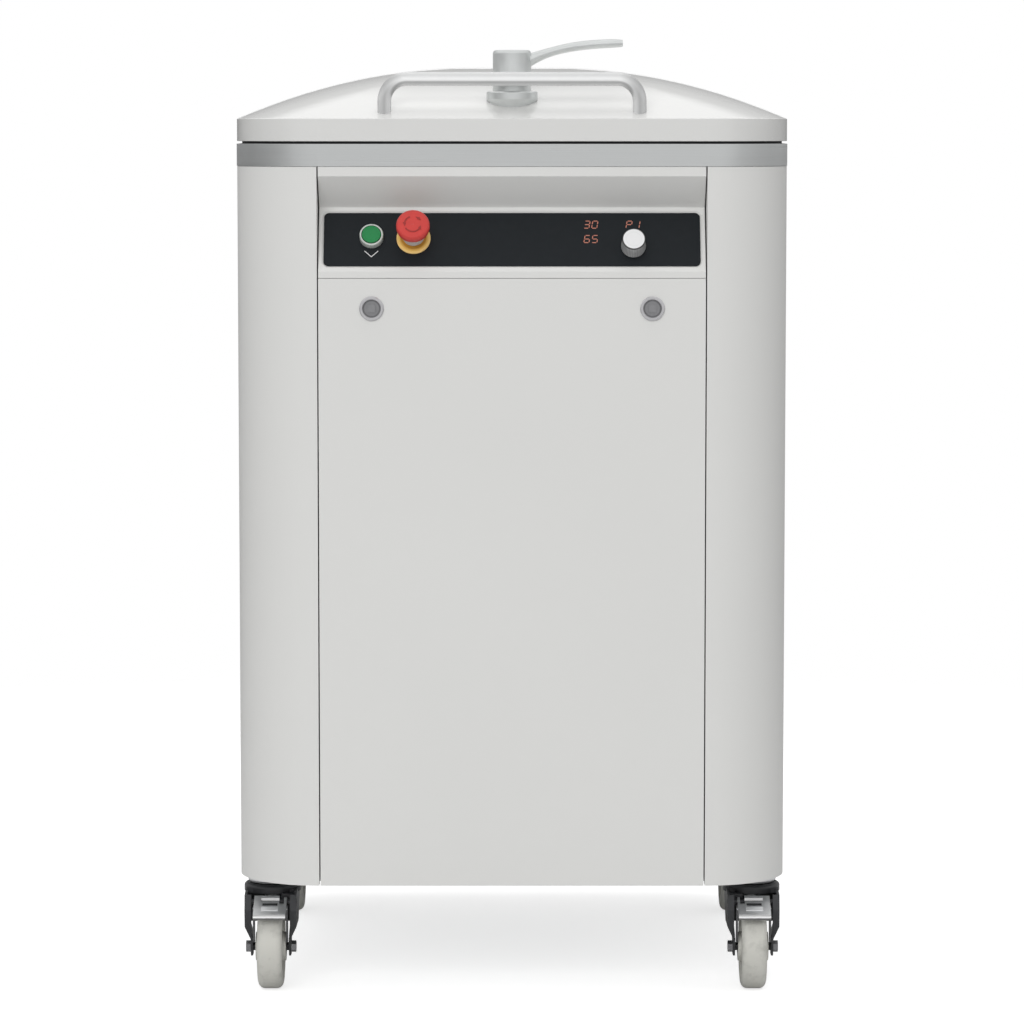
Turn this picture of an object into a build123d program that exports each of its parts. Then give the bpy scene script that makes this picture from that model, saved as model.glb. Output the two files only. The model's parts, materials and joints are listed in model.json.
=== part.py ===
from build123d import *
from math import atan2, cos, degrees, radians, sin
import os

# Semi-automatic hydraulic dough divider, in millimetres.
# +X is the user's right, +Y runs from the front to the back, +Z is up, the floor is Z = 0.

# Cabinet outline
WIDTH = 652.0
DEPTH = 690.0
CORNER_R = 99.0
SHEET = 1.5
SEAM = 1.5
PANEL_GAP = 0.4
SHEET_GAP = 0.3
FRONT = -DEPTH / 2
REAR = DEPTH / 2
SEAM_X = WIDTH / 2 - CORNER_R
FOLD = 14.0

# Heights of the cabinet, from the floor up
CABINET_BOTTOM = 133.0
CONSOLE_BOTTOM = 850.4
SLOPE_BOTTOM = 858.0
SLOPE_TOP = 932.0
OVERHANG_TOP = 969.0
BAND_BOTTOM = 980.3
BAND_TOP = 1006.6
LID_BOTTOM = 1009.5
LID_EDGE = 1036.0
LID_RISE = 62.5
SLOPE_DEPTH = 38.0
CHEEK_DEPTH = 46.0
LIP_FOLD = 16.0

# Base tray and the cable gland at its back
TRAY_BOTTOM = 136.0
TRAY_FLOOR = 4.0
TRAY_RIM = 40.0
TRAY_SHEET = 2.0
TRAY_GAP = 0.5
TRAY_NOTCH = 4.0
GLAND_AT = (-150.0, 290.0)
GLAND_HOLE_R = 10.0
GLAND_BORE_R = 6.0
GLAND_RISE = 12.0
GLAND_HEX_R = 15.0
GLAND_HEX_T = 8.0
GLAND_DOME_R = 12.5
GLAND_DROP = 26.0
GLAND_ROUND = 4.0

# Top band, deck and lid
BAND_PROUD = 0.5
BAND_SHEET = 2.0
DECK_T = 3.0
GASKET_INSET = 6.0
GASKET_W = 9.0
GASKET_GAP = 0.1
LID_SHEET = 2.0
LID_FLAT = 0.15
LID_SECTIONS = (1.0, 0.88, 0.74, 0.58, 0.42, 0.28, 0.15)
PRESS_PLATE_T = 20.0
PRESS_PLATE_X = 444.0
PRESS_PLATE_Y = 544.0
PRESS_PLATE_R = 14.0
PRESS_PLATE_EDGE = 2.0
PRESS_PLATE_GAP = 0.4
PAN_T = 2.0
PAN_GAP = 0.3

# Basin and the grid of pieces that it divides the dough into
COLUMNS = 4
ROWS = 5
BASIN_X = 416.0
BASIN_Y = 516.0
BASIN_R = 3.0
BASIN_WALL = 3.0
BASIN_FLANGE = 12.0
BASIN_FLANGE_T = 2.0
BASIN_BOTTOM = 860.0
TILE_TOP = 890.0
TILE_T = 20.0
TILE_GAP = 2.4
TILE_CHAMFER = 1.0
POST_R = 14.0
CARRIER_TOP = 592.0
CARRIER_T = 20.0
CARRIER_X = 396.0
CARRIER_Y = 496.0
CARRIER_R = 20.0

# Knife grid
BLADE_TOP = 885.0
BLADE_H = 150.0
BLADE_T = 1.5
BLADE_SLOT = 1.7
BLADE_END_GAP = 1.0
KNIFE_FRAME_T = 20.0
KNIFE_CELL = 84.0
KNIFE_ROD_X = 235.0
KNIFE_ROD_R = 12.5
KNIFE_LUG = 50.0
KNIFE_PISTON_T = 20.0
KNIFE_REST = 20.0

# Hydraulic cylinders and the beam that carries them
RUNNING_FIT = 0.06
BEAM_TOP = 440.0
BEAM_T = 20.0
RAIL_H = 40.0
BEAM_HALF = 90.0
RIB_Y = 80.0
RIB_T = 10.0
RIB_H = 70.0
ROD_R = 30.0
BORE_R = 45.0
CYLINDER_R = 60.0
CYLINDER_BOTTOM = 300.0
CYLINDER_TOP = 552.0
ROD_GLAND_T = 20.0
CYLINDER_BASE = 20.0
CYLINDER_FLANGE = 22.0
CYLINDER_FLANGE_T = 16.0
PISTON_T = 30.0
PISTON_REST = 5.0
RAM_FLANGE = 20.0
RAM_FLANGE_T = 14.0
SMALL_BORE_R = 20.0
SMALL_CYLINDER_R = 29.0
SMALL_TOP = 650.0
SMALL_BASE = 15.0

# Machinery on the tray, with heights from the tray's floor
TANK_X = (-170.0, 130.0)
TANK_Y = (90.0, 250.0)
TANK_H = 190.0
TANK_R = 15.0
FILLER_AT = (-130.0, 210.0)
FILLER_R = 18.0
FILLER_H = 15.0
MOTOR_X = (-150.0, 60.0)
MOTOR_Y = -150.0
MOTOR_AXIS = 85.0
MOTOR_R = 70.0
FIN_R = 76.0
FIN_T = 6.0
FIN_PITCH = 20.0
FIN_COUNT = 9
FIN_FIRST_X = -135.0
PUMP_R = 45.0
PUMP_END = 110.0
FOOT_X = (-120.0, 20.0)
FOOT_W = 40.0
FOOT_REACH = 60.0
FOOT_H = 30.0
VALVE_X = (150.0, 230.0)
VALVE_Y = (-190.0, -110.0)
VALVE_H = 100.0
SOLENOID_R = 14.0
SOLENOID_L = 20.0
SOLENOID_Y = (-170.0, -130.0)
SOLENOID_Z = 70.0

# Electrical box, with heights from the floor
BOX_X = (205.0, 265.0)
BOX_Y = (100.0, 250.0)
BOX_Z = (480.0, 700.0)
BOX_R = 6.0

# Uprights
UPRIGHT = 30.0
UPRIGHT_WALL = 2.0
UPRIGHT_X = 268.0
UPRIGHT_Y = 293.0

# Air louvres of the rear panel
LOUVRE_W = 124.0
LOUVRE_SLOT = 6.0
LOUVRE_OUT = 6.0
LOUVRE_RISE = 9.0
LOUVRE_SHEET = 1.2
LOUVRE_X = 110.0
LOUVRE_Z = 250.0
LOUVRE_PITCH = 22.0
LOUVRE_ROWS = 8

# Controls, placed on the slanted face: across, and up the slope from its middle
OVERLAY_X = 440.4
OVERLAY_Y = 68.6
OVERLAY_UP = 0.7
OVERLAY_R = 6.0
OVERLAY_T = 1.2
POCKET_DEPTH = 2.4
POCKET_BEVEL = 2.4
POCKET_GAP = 0.1
PAD_T = 4.4
PAD_MARGIN = 3.0
PAD_SETBACK = 0.2
START_AT = (-164.4, 3.0)
ESTOP_AT = (-115.2, 1.7)
KNOB_AT = (142.0, -9.0)
CONTROL_FIT = 0.1
PRESS_SPARE = 0.4
SLEEVE_R = 11.0
SLEEVE_GAP = 0.2
KNOB_HOLE_R = 5.0
HOLE_DEPTH = 12.0

# Start button, with heights from the overlay's face
BEZEL_R = 14.0
BEZEL_H = 9.0
BEZEL_EDGE = 1.2
CUP_FLOOR = 1.5
CAP_R = 11.5
CAP_GAP = 0.3
CAP_FACE = 9.6
CAP_EDGE = 0.8
CAP_RIM = 2.2
CAP_DISH = 0.5
START_TRAVEL = 4.0
START_STEM_R = 5.1
START_STEM_BACK = 22.0
START_BACK = 28.0

# Emergency stop, with heights from the overlay's face
ESTOP_BACK = 31.0
ESTOP_RING_R = 19.9
ESTOP_RING_H = 3.4
ESTOP_RIM = 1.6
ESTOP_BEVEL = 2.2
ESTOP_SEAT = 2.4
ESTOP_COLLAR_R = 13.0
ESTOP_COLLAR_TOP = 22.0
ESTOP_STEM_R = 8.0
ESTOP_STEM_BACK = 24.0
ESTOP_PIN_R = 6.0
ESTOP_PIN_TOP = 32.0
ESTOP_HEAD_R = 19.6
ESTOP_FACE = 40.0
ESTOP_HEAD_GAP = 0.3
ESTOP_WAIST = 11.0
ESTOP_SHOULDER = 9.0
ESTOP_ROUND = 4.5
ESTOP_CROWN = 0.6
ESTOP_TRAVEL = 5.0

# Setting knob, with heights from the overlay's face
KNOB_R = 14.4
KNOB_H = 22.0
KNOB_BASE = 0.5
KNOB_SKIRT = 3.0
KNOB_STEP = 0.7
KNOB_TAPER = 0.2
KNOB_EDGE = 0.8
KNOB_PUSH = 1.0
KNOB_SHAFT_R = 3.0
KNOB_SHAFT_TOP = 16.0
KNOB_BUSH_R = 4.9
KNOB_BUSH_BACK = 20.0

# Contact blocks and the encoder's body behind the console
CONTACT_BLOCK = (30.0, 36.0, 18.0)
ENCODER_BLOCK = 16.0
ENCODER_DEPTH = 30.0

# Panel locks
LOCK_X = 164.0
LOCK_Z = 815.0
LOCK_RING_R = 14.4
LOCK_CORE_R = 10.5
LOCK_BODY = 1.9
LOCK_BACK = 12.0
LOCK_RING_T = 2.6
LOCK_RING_EDGE = 1.2
LOCK_CORE_FACE = -1.0
LOCK_CORE_T = 12.0
LOCK_KEY = 9.0
LOCK_KEY_H = 1.5
LOCK_KEY_R = 1.0
SPINDLE_R = 4.0
LOCK_TONGUE = 47.0
TONGUE_W = 16.0
TONGUE_T = 3.0
TONGUE_DEPTH = 17.0

# Lid handle, lock boss and lever
HANDLE_R = 8.0
HANDLE_X = 149.0
HANDLE_Y = FRONT + 20.0
HANDLE_Z = 1082.0
HANDLE_BEND = 26.0
BOSS_R = 30.0
BOSS_TOP = 1067.5
BOSS_RIM = 1058.5
BOSS_FOOT = 1047.0
BOSS_FOOT_R = 23.0
BOSS_EDGE = 1.5
LOCK_Y = FRONT + 57.0
HUB_R = 22.5
HUB_BOTTOM = 1068.0
HUB_TOP = 1116.0
HUB_ROUND = 4.0
HUB_DISH_R = 14.0
HUB_DISH = 1.2
SHAFT_R = 10.0
SHAFT_FIT = 0.08
SHAFT_PRESS = 0.02
SHAFT_CAP = 6.0
FINGER_REACH = 30.0
FINGER_W = 16.0
FINGER_BOTTOM = 988.0
FINGER_T = 8.0
KEEPER_T = 6.0
KEEPER_X = 60.0
KEEPER_FRONT = 45.0
KEEPER_BACK = 22.0
SLOT_MARGIN = 4.0

# Sections of the lever's arm: distance from the hub, height, thickness, width and climb in degrees
LEVER_SECTIONS = (
    (8.0, 1098.5, 17.0, 14.0, 30.0),
    (24.0, 1105.9, 14.0, 15.0, 23.0),
    (40.0, 1112.0, 11.0, 17.0, 18.0),
    (64.0, 1118.3, 10.4, 19.0, 12.0),
    (90.0, 1122.0, 10.5, 20.0, 6.5),
    (112.0, 1123.5, 10.3, 20.0, 2.5),
    (130.0, 1123.8, 8.0, 17.0, 0.0),
)

# Lid hinges
HINGE_X = 170.0
HINGE_Y = REAR + 9.0
HINGE_Z = 1008.0
KNUCKLE_R = 7.0
PIN_R = 4.0
LEAF_W = 60.0
KNUCKLE_HALF = 11.0
KNUCKLE_GAP = 0.5
LEAF_T = 5.0
LEAF_EDGE = 1.0
LEAF_CLEAR_LOW = 6.6
LEAF_CLEAR_HIGH = 8.2
WEB_H = 18.0
WEB_CLEAR = 1.5
PIN_HEAD = 2.0

# Casters
CASTER_X = 288.0
CASTER_Y = 252.0
TRAIL = 38.0
WHEEL_R = 50.0
WHEEL_W = 30.0
WHEEL_HUB = 36.0
RIM_R = 41.0
DISH_R = 38.0
DISH = 9.0
TREAD_EDGE = 7.0
TREAD_ROUND = 8.0
HUB_WHEEL_R = 17.0
AXLE_R = 5.0
HEAD_R = 29.5
HEAD_EDGE = 2.5
HEAD_GAP = 1.2
CROWN_R = 34.0
CROWN_BOTTOM = 112.0
CROWN_TOP = 122.0
CROWN_ROUND = 4.0
KING_R = 6.0
KING_NUT_R = 10.0
KING_NUT_T = 7.1
KING_NUT_GAP = 0.4
LEG_T = 3.0
LEG_TOP_X = 31.0
LEG_AXLE_X = 24.0
LEG_BEND_HIGH = 76.0
LEG_BEND_LOW = 61.0
LEG_END = 40.0
LEG_FLANGE = 8.0
LEG_CLEAR = 21.5
LEG_NOSE = ((-50.0, 114.0), (-54.0, 96.0))
LEG_HEEL = ((24.0, 100.0), (22.0, 122.0))
LEG_FOOT = 13.0
LEG_FOOT_TOP = 54.0
LEG_TOE = 8.0
LEG_TOP_DROP = 5.0
FLANGE_END = 64.0
SHOULDER_X = 10.0
SHOULDER_Y = (-26.0, 14.0)
FORK_WEB_Y = 12.0
FORK_WEB_BOTTOM = 71.0
CAM_X = 12.0
CAM_Y = (-36.0, -22.0)
CAM_BOTTOM = 101.0
BOLT_HEAD_R = 7.0
BOLT_HEAD_T = 6.0

# Brake pedal of a front caster, about the caster's swivel axis, with outlines as (Y, Z) points
PEDAL_W = 38.4
PEDAL_PIVOT = (-44.0, 105.0)
PEDAL_PIN_R = 3.0
PEDAL_PIN_FIT = 0.05
PEDAL_T = 3.0
PEDAL_PLATE = (
    (-46.0, 112.5), (-82.0, 96.3), (-85.0, 93.5), (-85.6, 90.5), (-82.8, 90.8), (-80.4, 93.8), (-44.8, 109.8),
)
PEDAL_SLOT = (22.0, -56.5, -50.5)
PEDAL_OPENING = (18.0, -66.6, -60.4)
PEDAL_OPENING_FLOOR = 100.2
PEDAL_NOTCH = (10.7, -40.0, 104.8)
PEDAL_BUMP_W = 20.0
PEDAL_BUMP = ((-66.6, 101.5), (-66.6, 104.2), (-70.0, 103.6), (-74.8, 100.3), (-74.8, 98.5))
PEDAL_CHEEK = ((-46.0, 110.0), (-75.0, 98.0), (-70.0, 96.0), (-40.0, 100.0), (-40.0, 110.0))
SHOE_W = 24.0
SHOE = ((-57.5, 104.5), (-68.0, 100.0), (-68.0, 97.5), (-57.5, 98.8))
ARM = ((-60.0, 99.0), (-46.0, 101.0), (-47.0, 58.0), (-56.0, 58.0))
ARM_X = 18.6
ARM_T = 2.2

# Values worked out from the dimensions above
SLOPE_TILT = degrees(atan2(SLOPE_DEPTH, SLOPE_TOP - SLOPE_BOTTOM))
SLOPE = Plane(
    origin=(0, FRONT + SLOPE_DEPTH / 2, (SLOPE_BOTTOM + SLOPE_TOP) / 2),
    x_dir=(1, 0, 0),
    z_dir=(0, -cos(radians(SLOPE_TILT)), sin(radians(SLOPE_TILT))),
)
PITCH_X = BASIN_X / COLUMNS
PITCH_Y = BASIN_Y / ROWS
BLADE_BOTTOM = BLADE_TOP - BLADE_H
KNIFE_FRAME_BOTTOM = BLADE_BOTTOM - KNIFE_FRAME_T
DECK_BOTTOM = BAND_TOP - DECK_T
BASIN_RIM = BAND_TOP + BASIN_FLANGE_T
PRESS_PLATE_BOTTOM = BASIN_RIM + PRESS_PLATE_GAP
PAN_BOTTOM = PRESS_PLATE_BOTTOM + PRESS_PLATE_T
TRAIL_Y = -TRAIL
TRAY_TOP = TRAY_BOTTOM + TRAY_FLOOR
OVERLAY_FACE = OVERLAY_T - POCKET_DEPTH


def block(x0, x1, y0, y1, z0, z1):
    """Box between two corners."""
    size = Box(x1 - x0, y1 - y0, z1 - z0)
    return Pos((x0 + x1) / 2, (y0 + y1) / 2, (z0 + z1) / 2) * size


def drum(radius, z0, z1, x=0.0, y=0.0):
    """Upright cylinder between two heights."""
    return Pos(x, y, (z0 + z1) / 2) * Cylinder(radius, z1 - z0)


def rod_x(radius, x0, x1, y, z):
    """Cylinder along X."""
    return Pos((x0 + x1) / 2, y, z) * Rot(0, 90, 0) * Cylinder(radius, x1 - x0)


def rounded_prism(width, depth, radius, z0, z1):
    """Upright prism of a rounded rectangle, centred on the cabinet's axis."""
    return extrude(Pos(0, 0, z0) * RectangleRounded(width, depth, radius), z1 - z0)


def ring_wall(width, depth, radius, thickness, z0, z1):
    """Wall of even thickness inside a rounded rectangle."""
    inner = rounded_prism(width - 2 * thickness, depth - 2 * thickness, radius - thickness, z0, z1)
    return rounded_prism(width, depth, radius, z0, z1) - inner


def side_profile(points, x0, x1):
    """Prism along X of a closed outline given as (Y, Z) points."""
    face = Plane.YZ * make_face(Polyline(*points, close=True))
    return Pos(x0, 0, 0) * extrude(face, x1 - x0, dir=(1, 0, 0))


def turned(points):
    """Solid of revolution about Z from (radius, height) points."""
    return revolve(Plane.XZ * make_face(Polyline(*points, close=True)), Axis.Z)


def on_slope(place, shape):
    """Put a shape, modelled on a level panel, on the slanted console face."""
    return SLOPE.location * Pos(place[0], place[1], 0) * shape


def grid_centres():
    """Centres of the cells of the dough grid."""
    return [
        ((column - (COLUMNS - 1) / 2) * PITCH_X, (row - (ROWS - 1) / 2) * PITCH_Y)
        for column in range(COLUMNS)
        for row in range(ROWS)
    ]


def long_blade_places():
    """X of the blades that run from front to back."""
    return [(index - COLUMNS / 2) * PITCH_X for index in range(1, COLUMNS)]


def cross_blade_places():
    """Y of the blades that run from side to side."""
    return [(index - ROWS / 2) * PITCH_Y for index in range(1, ROWS)]


def caster_places():
    """Swivel axes of the casters, by corner name."""
    return {
        "front_left": (-CASTER_X, -CASTER_Y),
        "front_right": (CASTER_X, -CASTER_Y),
        "rear_left": (-CASTER_X, CASTER_Y),
        "rear_right": (CASTER_X, CASTER_Y),
    }


# Cabinet sheet metal

def base_tray():
    """Folded tray that closes the bottom and carries the casters and uprights."""
    gap = SHEET + TRAY_GAP
    rim = TRAY_BOTTOM + TRAY_RIM
    inset = gap + TRAY_SHEET
    tray = rounded_prism(WIDTH - 2 * gap, DEPTH - 2 * gap, CORNER_R - gap, TRAY_BOTTOM, rim)
    tray -= rounded_prism(WIDTH - 2 * inset, DEPTH - 2 * inset, CORNER_R - inset, TRAY_TOP, rim + 1)
    tray -= drum(GLAND_HOLE_R, TRAY_BOTTOM - 1, TRAY_TOP + 1, *GLAND_AT)
    notch = SEAM_X + TRAY_NOTCH
    cut = FOLD + 1
    for y0 in (FRONT, REAR - cut):
        tray -= block(-notch, notch, y0, y0 + cut, TRAY_BOTTOM - 1, rim + 1)
    return tray


def cable_gland():
    """Flanged cable gland with a clear bore, under the tray."""
    hex_bottom = -GLAND_HEX_T
    body = drum(GLAND_HOLE_R - CONTROL_FIT, hex_bottom / 4, GLAND_RISE)
    body += Pos(0, 0, hex_bottom) * extrude(RegularPolygon(GLAND_HEX_R, 6), GLAND_HEX_T)
    dome = drum(GLAND_DOME_R, -GLAND_DROP, hex_bottom)
    body += fillet(dome.edges().group_by(Axis.Z)[0], GLAND_ROUND)
    body -= drum(GLAND_BORE_R, -GLAND_DROP - 1, GLAND_RISE + 1)
    return Pos(*GLAND_AT, TRAY_BOTTOM) * body


def side_shell(side):
    """Sheet that wraps one side and both of its rounded corners, with folded edges."""
    top = BAND_BOTTOM - SHEET_GAP
    edge = SEAM_X + SEAM / 2
    wall = ring_wall(WIDTH, DEPTH, CORNER_R, SHEET, CABINET_BOTTOM, top)
    shell = wall & block(edge, WIDTH / 2 + 1, FRONT - 1, REAR + 1, CABINET_BOTTOM, top)
    shell += block(edge, edge + SHEET, FRONT, FRONT + FOLD, CABINET_BOTTOM, CONSOLE_BOTTOM)
    shell += block(edge, edge + SHEET, FRONT, FRONT + CHEEK_DEPTH, CONSOLE_BOTTOM, top)
    shell += block(edge, edge + SHEET, REAR - FOLD, REAR, CABINET_BOTTOM, top)
    return shell if side > 0 else mirror(shell, about=Plane.YZ)


def folded_panel(z0, z1, depth_sign):
    """Flat panel between the side shells with its four edges folded inwards."""
    half = SEAM_X - SEAM / 2
    face = FRONT if depth_sign > 0 else REAR
    y0, y1 = sorted((face, face + depth_sign * FOLD))
    panel = block(-half, half, y0, y1, z0, z1)
    c0, c1 = sorted((face + depth_sign * SHEET, face + depth_sign * (FOLD + 1)))
    return panel - block(-half + SHEET, half - SHEET, c0, c1, z0 + SHEET, z1 - SHEET)


def front_panel():
    """Service panel with holes for its two quarter-turn locks."""
    panel = folded_panel(CABINET_BOTTOM, CONSOLE_BOTTOM - PANEL_GAP, 1)
    for x in (-LOCK_X, LOCK_X):
        panel -= Pos(x, FRONT, LOCK_Z) * Rot(90, 0, 0) * Cylinder(LOCK_CORE_R + LOCK_BODY + CONTROL_FIT, FOLD)
    return panel


def rear_panel():
    """Back panel with two fields of air slots."""
    panel = folded_panel(CABINET_BOTTOM, BAND_BOTTOM - SHEET_GAP, -1)
    slot = Rot(90, 0, 0) * extrude(SlotOverall(LOUVRE_W, LOUVRE_SLOT), FOLD, both=True)
    hood = louvre_hood()
    for x in (-LOUVRE_X, LOUVRE_X):
        for row in range(LOUVRE_ROWS):
            place = Pos(x, REAR, LOUVRE_Z + LOUVRE_PITCH * row)
            panel = panel - place * slot + place * hood
    return panel


def louvre_hood():
    """Pressed hood over one air slot, open at its lower edge."""
    half = LOUVRE_W / 2
    low = -LOUVRE_SLOT / 2 - 1
    root = -SHEET / 3
    outer = [(root, LOUVRE_RISE), (0, LOUVRE_RISE), (LOUVRE_OUT, 1), (LOUVRE_OUT, low), (root, low)]
    wall = LOUVRE_SHEET
    inner = [
        (2 * root, LOUVRE_RISE - 1.6 * wall),
        (LOUVRE_OUT - wall, 1 - 0.4 * wall),
        (LOUVRE_OUT - wall, low - 1),
        (2 * root, low - 1),
    ]
    return side_profile(outer, -half, half) - side_profile(inner, wall - half, half - wall)


def control_console():
    """Folded console: bottom lip, slanted control face, overhang and top fascia, with end plates."""
    half = SEAM_X - SEAM / 2
    top = BAND_BOTTOM - SHEET_GAP
    front_line = [
        (FRONT, CONSOLE_BOTTOM),
        (FRONT, SLOPE_BOTTOM),
        (FRONT + SLOPE_DEPTH, SLOPE_TOP),
        (FRONT, OVERHANG_TOP),
        (FRONT, top),
    ]
    back = FRONT + CHEEK_DEPTH
    body = side_profile(front_line + [(back, top), (back, CONSOLE_BOTTOM)], -half, half)
    lean = SHEET / cos(radians(SLOPE_TILT))
    reach = SLOPE_DEPTH + 1.6 * SHEET
    cavity_line = [
        (FRONT + SHEET, CONSOLE_BOTTOM + SHEET),
        (FRONT + SHEET, SLOPE_BOTTOM - lean + SHEET),
        (FRONT + reach, SLOPE_TOP),
        (FRONT + SHEET, OVERHANG_TOP + SHEET),
        (FRONT + SHEET, top - SHEET),
        (back + 1, top - SHEET),
        (back + 1, CONSOLE_BOTTOM + SHEET),
    ]
    console = body - side_profile(cavity_line, -half + SHEET, half - SHEET)
    inside = half - SHEET
    console -= block(-inside, inside, FRONT + LIP_FOLD, back + 1, CONSOLE_BOTTOM - 1, SLOPE_BOTTOM)
    console += SLOPE.location * overlay_pad()
    console -= SLOPE.location * overlay_pocket()
    for place in (START_AT, ESTOP_AT):
        console -= on_slope(place, Cylinder(SLEEVE_R + SLEEVE_GAP, HOLE_DEPTH))
    console -= on_slope(KNOB_AT, Cylinder(KNOB_HOLE_R, HOLE_DEPTH))
    return console


def overlay_pad():
    """Doubler behind the slanted face that the overlay's pocket is pressed into."""
    pad = Rectangle(OVERLAY_X + 2 * PAD_MARGIN, OVERLAY_Y + 2 * PAD_MARGIN)
    return Pos(0, OVERLAY_UP, -PAD_T) * extrude(pad, PAD_T - PAD_SETBACK)


def overlay_pocket():
    """Shallow pocket with a bevelled edge, as deep as the overlay and a little more."""
    floor = RectangleRounded(OVERLAY_X + 2 * POCKET_GAP, OVERLAY_Y + 2 * POCKET_GAP, OVERLAY_R)
    grow = 2 * POCKET_BEVEL
    mouth = RectangleRounded(OVERLAY_X + grow, OVERLAY_Y + grow, OVERLAY_R + POCKET_BEVEL)
    return Pos(0, OVERLAY_UP, 0) * loft([Pos(0, 0, -POCKET_DEPTH) * floor, mouth])


def console_overlay():
    """Thin black overlay in its pocket, holed for the controls."""
    outline = RectangleRounded(OVERLAY_X, OVERLAY_Y, OVERLAY_R)
    plate = Pos(0, OVERLAY_UP, -POCKET_DEPTH) * extrude(outline, OVERLAY_T)
    for place in (START_AT, ESTOP_AT):
        plate -= Pos(*place, 0) * Cylinder(SLEEVE_R + SLEEVE_GAP, HOLE_DEPTH)
    plate -= Pos(*KNOB_AT, 0) * Cylinder(KNOB_HOLE_R, HOLE_DEPTH)
    return SLOPE.location * plate


# Controls

def start_button_bezel():
    """Ring with a shallow cup and a sleeve that goes through the console."""
    face = OVERLAY_FACE
    top = face + BEZEL_H
    bore = START_STEM_R + CONTROL_FIT
    cup = CAP_R + CAP_GAP
    ring = turned([
        (bore, face), (bore, face + CUP_FLOOR), (cup, face + CUP_FLOOR), (cup, top),
        (BEZEL_R - BEZEL_EDGE, top), (BEZEL_R, top - BEZEL_EDGE), (BEZEL_R, face),
        (SLEEVE_R, face), (SLEEVE_R, -START_BACK), (bore, -START_BACK),
    ])
    return on_slope(START_AT, ring)


def start_button_cap():
    """Green cap with a shallow dish on a stem."""
    low = OVERLAY_FACE + CUP_FLOOR + START_TRAVEL + PRESS_SPARE
    top = OVERLAY_FACE + CAP_FACE
    dish = CAP_R - CAP_RIM
    cap = turned([
        (0, -START_STEM_BACK), (START_STEM_R, -START_STEM_BACK), (START_STEM_R, low), (CAP_R, low),
        (CAP_R, top - CAP_EDGE), (CAP_R - CAP_EDGE, top), (dish, top),
        (dish - CAP_EDGE, top - CAP_DISH), (0, top - CAP_DISH),
    ])
    return on_slope(START_AT, cap)


def estop_ring():
    """Yellow base ring with a bevelled edge, and the sleeve through the console."""
    face = OVERLAY_FACE
    top = face + ESTOP_RING_H
    seat = face + ESTOP_SEAT
    bore = ESTOP_STEM_R + CONTROL_FIT
    ring = turned([
        (bore, -ESTOP_BACK), (SLEEVE_R, -ESTOP_BACK), (SLEEVE_R, face), (ESTOP_RING_R, face),
        (ESTOP_RING_R, face + ESTOP_RIM), (ESTOP_RING_R - ESTOP_BEVEL, top), (ESTOP_COLLAR_R + 2, top),
        (ESTOP_COLLAR_R + CAP_GAP, seat), (bore, seat),
    ])
    return on_slope(ESTOP_AT, ring)


def estop_stem():
    """Grey collar and stem that move with the mushroom when it is pushed."""
    low = OVERLAY_FACE + ESTOP_SEAT + ESTOP_TRAVEL + PRESS_SPARE
    collar = OVERLAY_FACE + ESTOP_COLLAR_TOP
    pin = OVERLAY_FACE + ESTOP_PIN_TOP
    stem = turned([
        (0, -ESTOP_STEM_BACK), (ESTOP_STEM_R, -ESTOP_STEM_BACK), (ESTOP_STEM_R, low), (ESTOP_COLLAR_R, low),
        (ESTOP_COLLAR_R, collar), (ESTOP_PIN_R, collar), (ESTOP_PIN_R, pin), (0, pin),
    ])
    return on_slope(ESTOP_AT, stem)


def estop_mushroom():
    """Red mushroom head with a waisted underside, turning on the stem."""
    top = OVERLAY_FACE + ESTOP_FACE
    low = OVERLAY_FACE + ESTOP_COLLAR_TOP + ESTOP_HEAD_GAP
    pin_top = OVERLAY_FACE + ESTOP_PIN_TOP + ESTOP_HEAD_GAP
    pin = ESTOP_PIN_R + RUNNING_FIT
    side_top = (ESTOP_HEAD_R, top - ESTOP_ROUND)
    crown = (ESTOP_HEAD_R - ESTOP_ROUND, top - ESTOP_CROWN)
    outline = Polyline(
        (0, top), (0, pin_top), (pin, pin_top), (pin, low), (ESTOP_COLLAR_R + ESTOP_CROWN, low),
        (ESTOP_HEAD_R - 2 * ESTOP_CROWN, top - ESTOP_WAIST), (ESTOP_HEAD_R, top - ESTOP_SHOULDER), side_top,
    )
    half = make_face(outline + RadiusArc(side_top, crown, -ESTOP_ROUND) + Line(crown, (0, top)))
    return on_slope(ESTOP_AT, revolve(Plane.XZ * half, Axis.Z))


def encoder_shaft():
    """Shaft of the setting knob, which pushes in to confirm a value."""
    base = OVERLAY_FACE + KNOB_BASE
    top = OVERLAY_FACE + KNOB_SHAFT_TOP
    shaft = turned([
        (0, -KNOB_BUSH_BACK), (KNOB_BUSH_R, -KNOB_BUSH_BACK), (KNOB_BUSH_R, base), (KNOB_SHAFT_R, base),
        (KNOB_SHAFT_R, top), (0, top),
    ])
    return on_slope(KNOB_AT, shaft)


def encoder_knob():
    """Turned knob with a bevelled rim, hollow underneath for the shaft."""
    low = OVERLAY_FACE + KNOB_PUSH + KNOB_BASE
    top = OVERLAY_FACE + KNOB_H
    bore = KNOB_SHAFT_R + RUNNING_FIT
    bore_top = OVERLAY_FACE + KNOB_SHAFT_TOP + CAP_GAP
    grip = KNOB_R - KNOB_STEP
    rim = grip - KNOB_TAPER
    knob = turned([
        (bore, low), (KNOB_R, low), (KNOB_R, low + KNOB_SKIRT), (grip, low + KNOB_SKIRT + KNOB_STEP),
        (rim, top - KNOB_EDGE), (rim - KNOB_EDGE, top), (0, top), (0, bore_top), (bore, bore_top),
    ])
    return on_slope(KNOB_AT, knob)


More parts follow.
